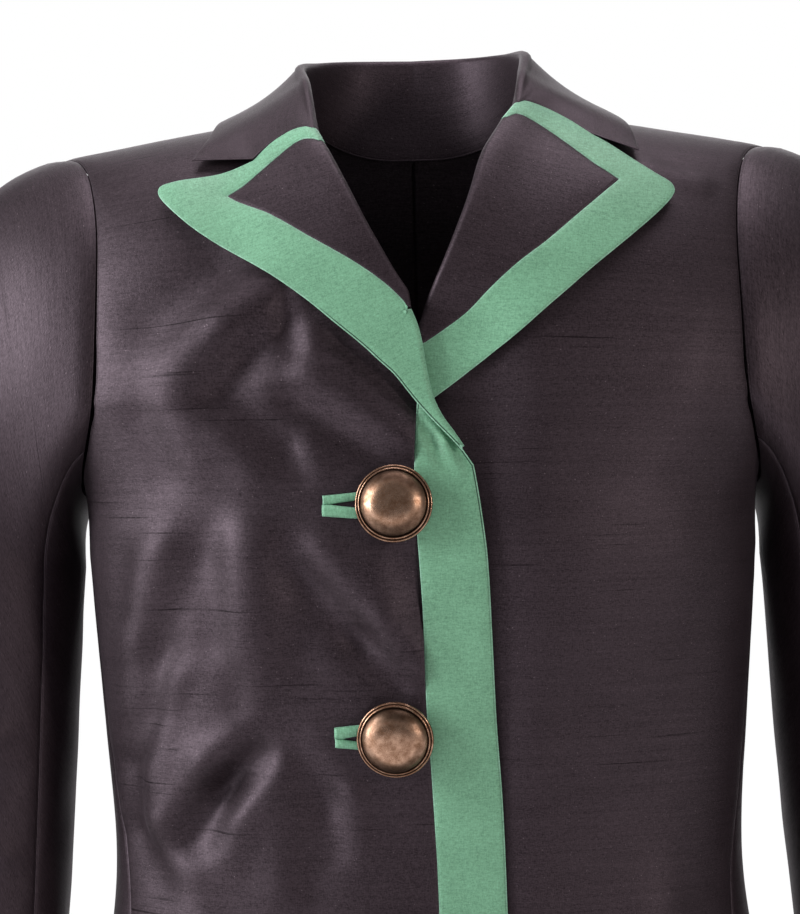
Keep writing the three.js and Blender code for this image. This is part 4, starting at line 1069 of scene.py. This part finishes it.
def silk(name, colour, bright, contrast, slubs, lint, rough, gloss, gloss_tint, lint_colour):
    material, n, bsdf = new_material(name)
    grain = n.put("Attribute", out=1, attribute_name="grain")
    weave, rim = (n.tree.nodes.new("ShaderNodeGroup") for _ in range(2))
    weave.node_tree, rim.node_tree = SILK, EDGE
    n.fill(weave, {"Grain": grain, "Contrast": contrast, "Slubs": slubs, "Lint": lint})
    n.fill(rim, {"Edge": n.put("Attribute", out=2, attribute_name="edge"),
                 "Doubled": n.put("Attribute", out=2, attribute_name="doubled"), "Grain": grain})
    # painted sheen: at grazing angles the base colour turns towards the lighter bright colour
    facing = n.put("LayerWeight", 0.35, out=1)
    base = n.blend(n.math("POWER", facing, 2.4), colour, bright)
    # painted highlight along pressed edges, partly rubbed wear, towards the bright colour
    base = n.blend(n.times(rim.outputs["Wear_and_highlight"], 0.55), base, bright)
    shade = n.times(weave.outputs["Shade"], rim.outputs["Shade"])
    base = n.stretch(base, n.put("CombineXYZ", shade, shade, shade))
    base = n.blend(weave.outputs["Specks"], base, lint_colour)
    height = n.plus(weave.outputs["Height"], rim.outputs["Height"])
    n.fill(bsdf, {"Base Color": base, "Specular IOR Level": n.times(shade, gloss), "Roughness": rough,
                  "Specular Tint": gloss_tint,
                  "Normal": n.put("Bump", Strength=0.8, Distance=0.001, Height=height)})
    return name, material


def antique_brass():
    """Dark bronze, mottled, rubbed bright on the high places and black in the grooves; painted shade
    darkens the dome's outer zone, most at its top and bottom.
    """
    material, n, bsdf = new_material("antique_brass")
    spot = n.put("Attribute", out=1, attribute_name="grain")
    patina_and_shade = n.put("Attribute", out=2, attribute_name="patina_and_shade")
    mottle = n.noise(spot, 0.22, 5, 0.62)
    fine = n.noise(spot, 1.7, 4, 0.6)
    scratch = n.noise(n.stretch(spot, (0.5, 6, 0.5)), 1.0, 2, 0.5)
    tone = n.plus(n.times(mottle, 0.75), n.times(fine, 0.25))
    base = n.blend(n.range(tone, 0.38, 0.62), (0.26, 0.14, 0.085, 1), (0.6, 0.38, 0.27, 1))
    # black patina in the rim grooves, and painted shade on the dome's outer zone
    base = n.blend(n.range(patina_and_shade, 0.2, 1.0), base, (0.02, 0.013, 0.01, 1))
    rough = n.plus(n.range(tone, 0.35, 0.65, 0.33, 0.22), n.times(patina_and_shade, 0.2))
    rough = n.plus(rough, n.range(fine, 0.3, 0.7, 0.05, -0.05))
    height = n.plus(n.times(fine, 0.06), n.times(scratch, 0.03))
    height = n.math("MULTIPLY_ADD", mottle, 0.1, height)
    n.fill(bsdf, {"Base Color": base, "Metallic": 1.0, "Roughness": rough,
                  "Normal": n.put("Bump", Strength=0.6, Distance=0.001, Height=height)})
    return "antique_brass", material


DARK = silk("silk_dark", (0.0050, 0.0024, 0.0028, 1), (0.032, 0.025, 0.030, 1),
            contrast=0.95, slubs=1.0, lint=0.4, rough=0.55, gloss=0.62,
            gloss_tint=(1.0, 0.78, 0.94, 1), lint_colour=(0.26, 0.21, 0.23, 1))
GREEN = silk("silk_green", (0.172, 0.385, 0.245, 1), (0.34, 0.58, 0.47, 1),
             contrast=0.62, slubs=0.25, lint=0.45, rough=0.5, gloss=0.45,
             gloss_tint=(0.85, 1.0, 0.9, 1), lint_colour=(0.42, 0.62, 0.5, 1))
BRASS = antique_brass()


def fit(piece, node, made_of):
    """Give a piece its look, and put it in place of its solid."""
    slot, material = made_of
    piece.data.materials.append(material)
    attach(piece, "root")
    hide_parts(node)


def finish_cloth(node, sheet, outward, shape, made_of):
    piece = cloth(node + "_silk", sheet, outward, shape)
    fit(piece, node, made_of)


def outwards(p):
    return p * [1, 1, 0]


def forwards(p):
    return np.broadcast_to([0.0, -1.0, 0.0], p.shape)


def upwards(p):
    return np.broadcast_to([0.0, 0.0, 1.0], p.shape)


SLEEVE_MIDDLE = 254  # distance of a sleeve's middle from the centre


def from_middle(side):
    """Outwards from the middle of a sleeve."""
    return lambda p: (p - [side * SLEEVE_MIDDLE, 0, 0]) * [1, 1, 0]


finish_cloth("front_right", front_right(), outwards, on_body, DARK)
finish_cloth("front_left", front_left(), outwards, on_body, DARK)
finish_cloth("front_band", front_band(), forwards, on_band, GREEN)
finish_cloth("lapel_right", right["dark"], forwards, on_lapel, DARK)
finish_cloth("lapel_left", left["dark"], forwards, on_left_lapel, DARK)
finish_cloth("lapel_band_right", right["band"], forwards, on_lapel, GREEN)
finish_cloth("lapel_band_left", left["band"], forwards, on_left_lapel, GREEN)
finish_cloth("collar", collar(), upwards, on_collar, DARK)
for word, side in (("right", -1), ("left", 1)):
    finish_cloth("side_" + word, side_panel(side), outwards, on_body, DARK)
    finish_cloth("back_" + word, back(side), outwards, on_body, DARK)
    for part, sheet in zip(("upper", "under"), sleeve(side)):
        finish_cloth(f"sleeve_{part}_{word}", sheet, from_middle(side), on_sleeve(side), DARK)


# ---- bound buttonholes and buttons
def lips(k):
    """Two narrow folded lips with an open slit, squared at the far end."""
    (bx, bz), x0 = BUTTONS[k], BUTTONHOLE_END[k]
    x1 = bx + 6
    x = np.concatenate([[x0, x0 + 0.3, x0 + 0.9], np.linspace(x0 + 1.6, x1, 60)])
    share = (x - x0) / (x1 - x0)
    opening = 0.06 + (1.8 if k == 0 else 2.2) * np.clip((x - x0 - 4.6) / 13, 0, 1)**0.8
    half = LIP + mix(0.1, 1.5, np.clip(share / 0.4, 0, 1))
    cross = np.array([0, 0.06, 0.16, 0.32, 0.5, 0.68, 0.84, 0.94, 1.0])
    rise = 1.9 * np.sin(cross * math.pi)**0.6
    sheet = Sheet()
    for side in (1, -1):
        z = bz + side * mix(half[:, None], opening[:, None], cross[None])
        rib = 0.16 * np.sin(x * 2 * math.pi / 1.35)[:, None] * np.sin(cross * math.pi)[None]
        end = soft((x - x0) / 0.9)[:, None]
        lift = 0.15 + rise[None] * mix(0.45, 1, end) + rib
        p = lifted(np.broadcast_to(x[:, None], z.shape), z, lift, False)
        sheet.mesh(sheet.add(p, np.stack(np.broadcast_arrays(z, x[:, None]), axis=-1)))
    return sheet.close()


def plain(p, grain, near):
    return np.zeros(len(p))


BUTTON_PROFILE = [[0, 0.4], [4.6, 0.4], [4.6, 2.6], [17.2, 2.6], [18.9, 2.8], [19.7, 3.5], [20, 4.4],
                  [19.85, 5.1], [19.5, 5.5], [19.15, 5.5], [18.9, 5.2], [18.7, 5.2], [18.5, 5.6],
                  [18.25, 6.1], [17.9, 6.35], [17.55, 6.2], [17.3, 5.9], [17.1, 6.2], [16.6, 7.4],
                  [15.8, 8.6], [14.6, 9.8], [12.8, 11.0], [10.6, 12.0], [8.0, 12.75], [5.0, 13.2],
                  [2.2, 13.38], [0, 13.4]]


BUTTON_HEIGHT, BUTTON_FOOT, BUTTON_ROUND = 13.4, 0.4, 96
BUTTON_LEAN = [-0.08, 0, -0.01]


def button(k):
    (x, z), around = BUTTONS[k], BUTTON_ROUND
    seat = lifted(np.array([x]), np.array([z]), np.array([2.1]), False)[0]
    n = unit(front_normal(np.array([x]), np.array([z]), False)[0] + BUTTON_LEAN)
    across = unit(np.cross([0, 0, 1.0], n))
    up = np.cross(n, across)
    ring = np.array(BUTTON_PROFILE)
    ring = np.concatenate([ring[1:3], smooth(ring[3:], 3)[:-1]])
    a = np.linspace(0, 2 * math.pi, around, endpoint=False)
    spin = np.cos(a)[:, None] * across + np.sin(a)[:, None] * up
    rows = seat + ring[:, None, :1] * spin[None] + ring[:, None, 1:] * n
    ends = [BUTTON_FOOT, BUTTON_HEIGHT]
    points = np.concatenate([rows.reshape(-1, 3), [seat + n * h for h in ends]])
    ids = np.arange(len(ring) * around).reshape(len(ring), around)
    ahead = np.roll(ids, -1, axis=1)
    low, high = len(points) - 2, len(points) - 1
    faces = np.stack([ids[:-1], ahead[:-1], ahead[1:], ids[1:]], axis=-1).reshape(-1, 4).tolist()
    faces += [[low, b, c] for b, c in zip(ahead[0].tolist(), ids[0].tolist())]
    faces += [[high, b, c] for b, c in zip(ids[-1].tolist(), ahead[-1].tolist())]
    mesh = new_mesh(f"button_{k + 1}_metal", points, faces, 50)
    radius = np.concatenate([np.repeat(ring[:, 0], around), [0, 0]])
    height = np.concatenate([np.repeat(ring[:, 1], around), ends])
    patina_and_shade = np.exp(-((radius - 17.2) / 0.35)**2) + np.exp(-((radius - 18.75) / 0.3)**2)
    # darker on the underside and the rim's lower wall
    patina_and_shade += (height < 5.0) * 0.8
    # painted shade: the dome's outer zone darkened, most at its top and bottom, where it reflects dark
    # surroundings
    upright = np.abs((points - seat) @ up) / np.maximum(radius, 0.1)
    patina_and_shade += mix(0.3, 0.85, upright) * soft((radius - 9) / 4.5) * (radius < 17)
    attribute(mesh, "grain", "FLOAT_VECTOR", points - seat + np.array([37.0 * k, 11.0, 5.0]))
    attribute(mesh, "patina_and_shade", "FLOAT", np.clip(patina_and_shade, 0, 1))
    fit(add_object(mesh.name, mesh), f"button_{k + 1}", BRASS)


for k in range(3):
    piece = cloth(f"buttonhole_{k + 1}_lips", lips(k), forwards, plain, 0.9)
    fit(piece, f"buttonhole_{k + 1}", GREEN)
    button(k)

# ---- stage
FLOOR, REACH = -0.66, 6


def two_shaders(n, share, first, second, output):
    """The first shader, and this share of the second one."""
    both = n.tree.nodes.new("ShaderNodeMixShader")
    n.fill(both, {0: share, 1: first.outputs[0], 2: second.outputs[0]})
    n.fill(n.tree.nodes[output], {0: both.outputs[0]})


scene = bpy.context.scene
floor_mesh = bpy.data.meshes.new("floor")
floor_mesh.from_pydata([(x * REACH, y * REACH, FLOOR) for x, y in ((-1, -1), (1, -1), (1, 1), (-1, 1))],
                       [], [(0, 1, 2, 3)])
floor = add_object("floor", floor_mesh)
paper, pn, matt = new_material("pale_paper")
pn.fill(matt, {"Base Color": (0.8, 0.8, 0.8, 1), "Roughness": 0.9})
glow = pn.tree.nodes.new("ShaderNodeEmission")
pn.fill(glow, {"Color": (1, 1, 1, 1), "Strength": 1.03})
two_shaders(pn, pn.times(pn.put("LightPath"), 0.97), matt, glow, "Material Output")
floor.data.materials.append(paper)

world = bpy.data.worlds.new("studio")
world.use_nodes = True
scene.world = world
wn = Nodes(world.node_tree)
room, backdrop = world.node_tree.nodes["Background"], world.node_tree.nodes.new("ShaderNodeBackground")
wn.fill(room, {0: (1.0, 0.985, 0.99, 1), 1: 0.16})
wn.fill(backdrop, {0: (1, 1, 1, 1), 1: 1.0})
two_shaders(wn, wn.put("LightPath"), room, backdrop, "World Output")


def stand(name, data, axes, at):
    """Place a light or camera by its own three axes."""
    thing = add_object(name, data)
    pose = np.eye(4)
    pose[:3, :3], pose[:3, 3] = np.array(axes, float).T, at
    thing.matrix_world = Matrix(pose.tolist())
    return thing


def soft_box(name, at, target, width, height, power, colour=(1, 1, 1)):
    light = bpy.data.lights.new(name, "AREA")
    light.shape, light.size, light.size_y = "RECTANGLE", width, height
    light.energy, light.color = power, colour
    from_z = unit(np.array(at, float) - target)
    side_axis = unit(np.cross([0, 0, 1.0], from_z)) if abs(from_z[2]) < 0.99 else np.array([1.0, 0, 0])
    stand(name, light, (side_axis, np.cross(from_z, side_axis), from_z), at)


soft_box("key_left", (-1.75, -0.65, 0.3), (0, 0, -0.25), 0.9, 1.3, 44)
soft_box("fill_right", (1.5, -1.4, 0.1), (0, 0, -0.25), 0.25, 0.4, 10, (1.0, 0.93, 0.86))
soft_box("top", (0.1, 0.0, 1.5), (0, 0, -0.1), 1.4, 1.0, 20, (1.0, 0.93, 0.96))
soft_box("back_wash", (0.0, 1.9, 0.5), (0, 0, -0.2), 1.8, 1.6, 22)

# ---- camera
camera = bpy.data.cameras.new("camera")
camera.lens, camera.sensor_width, camera.clip_end = 107.07, 36, 60
tilt = math.radians(1.2)
axes = (math.cos(tilt), 0, -math.sin(tilt)), (math.sin(tilt), 0, math.cos(tilt)), (0, -1, 0)
scene.camera = stand("camera", camera, axes, (-0.0114, -1.520, -0.1916))
scene.view_settings.view_transform = "Standard"
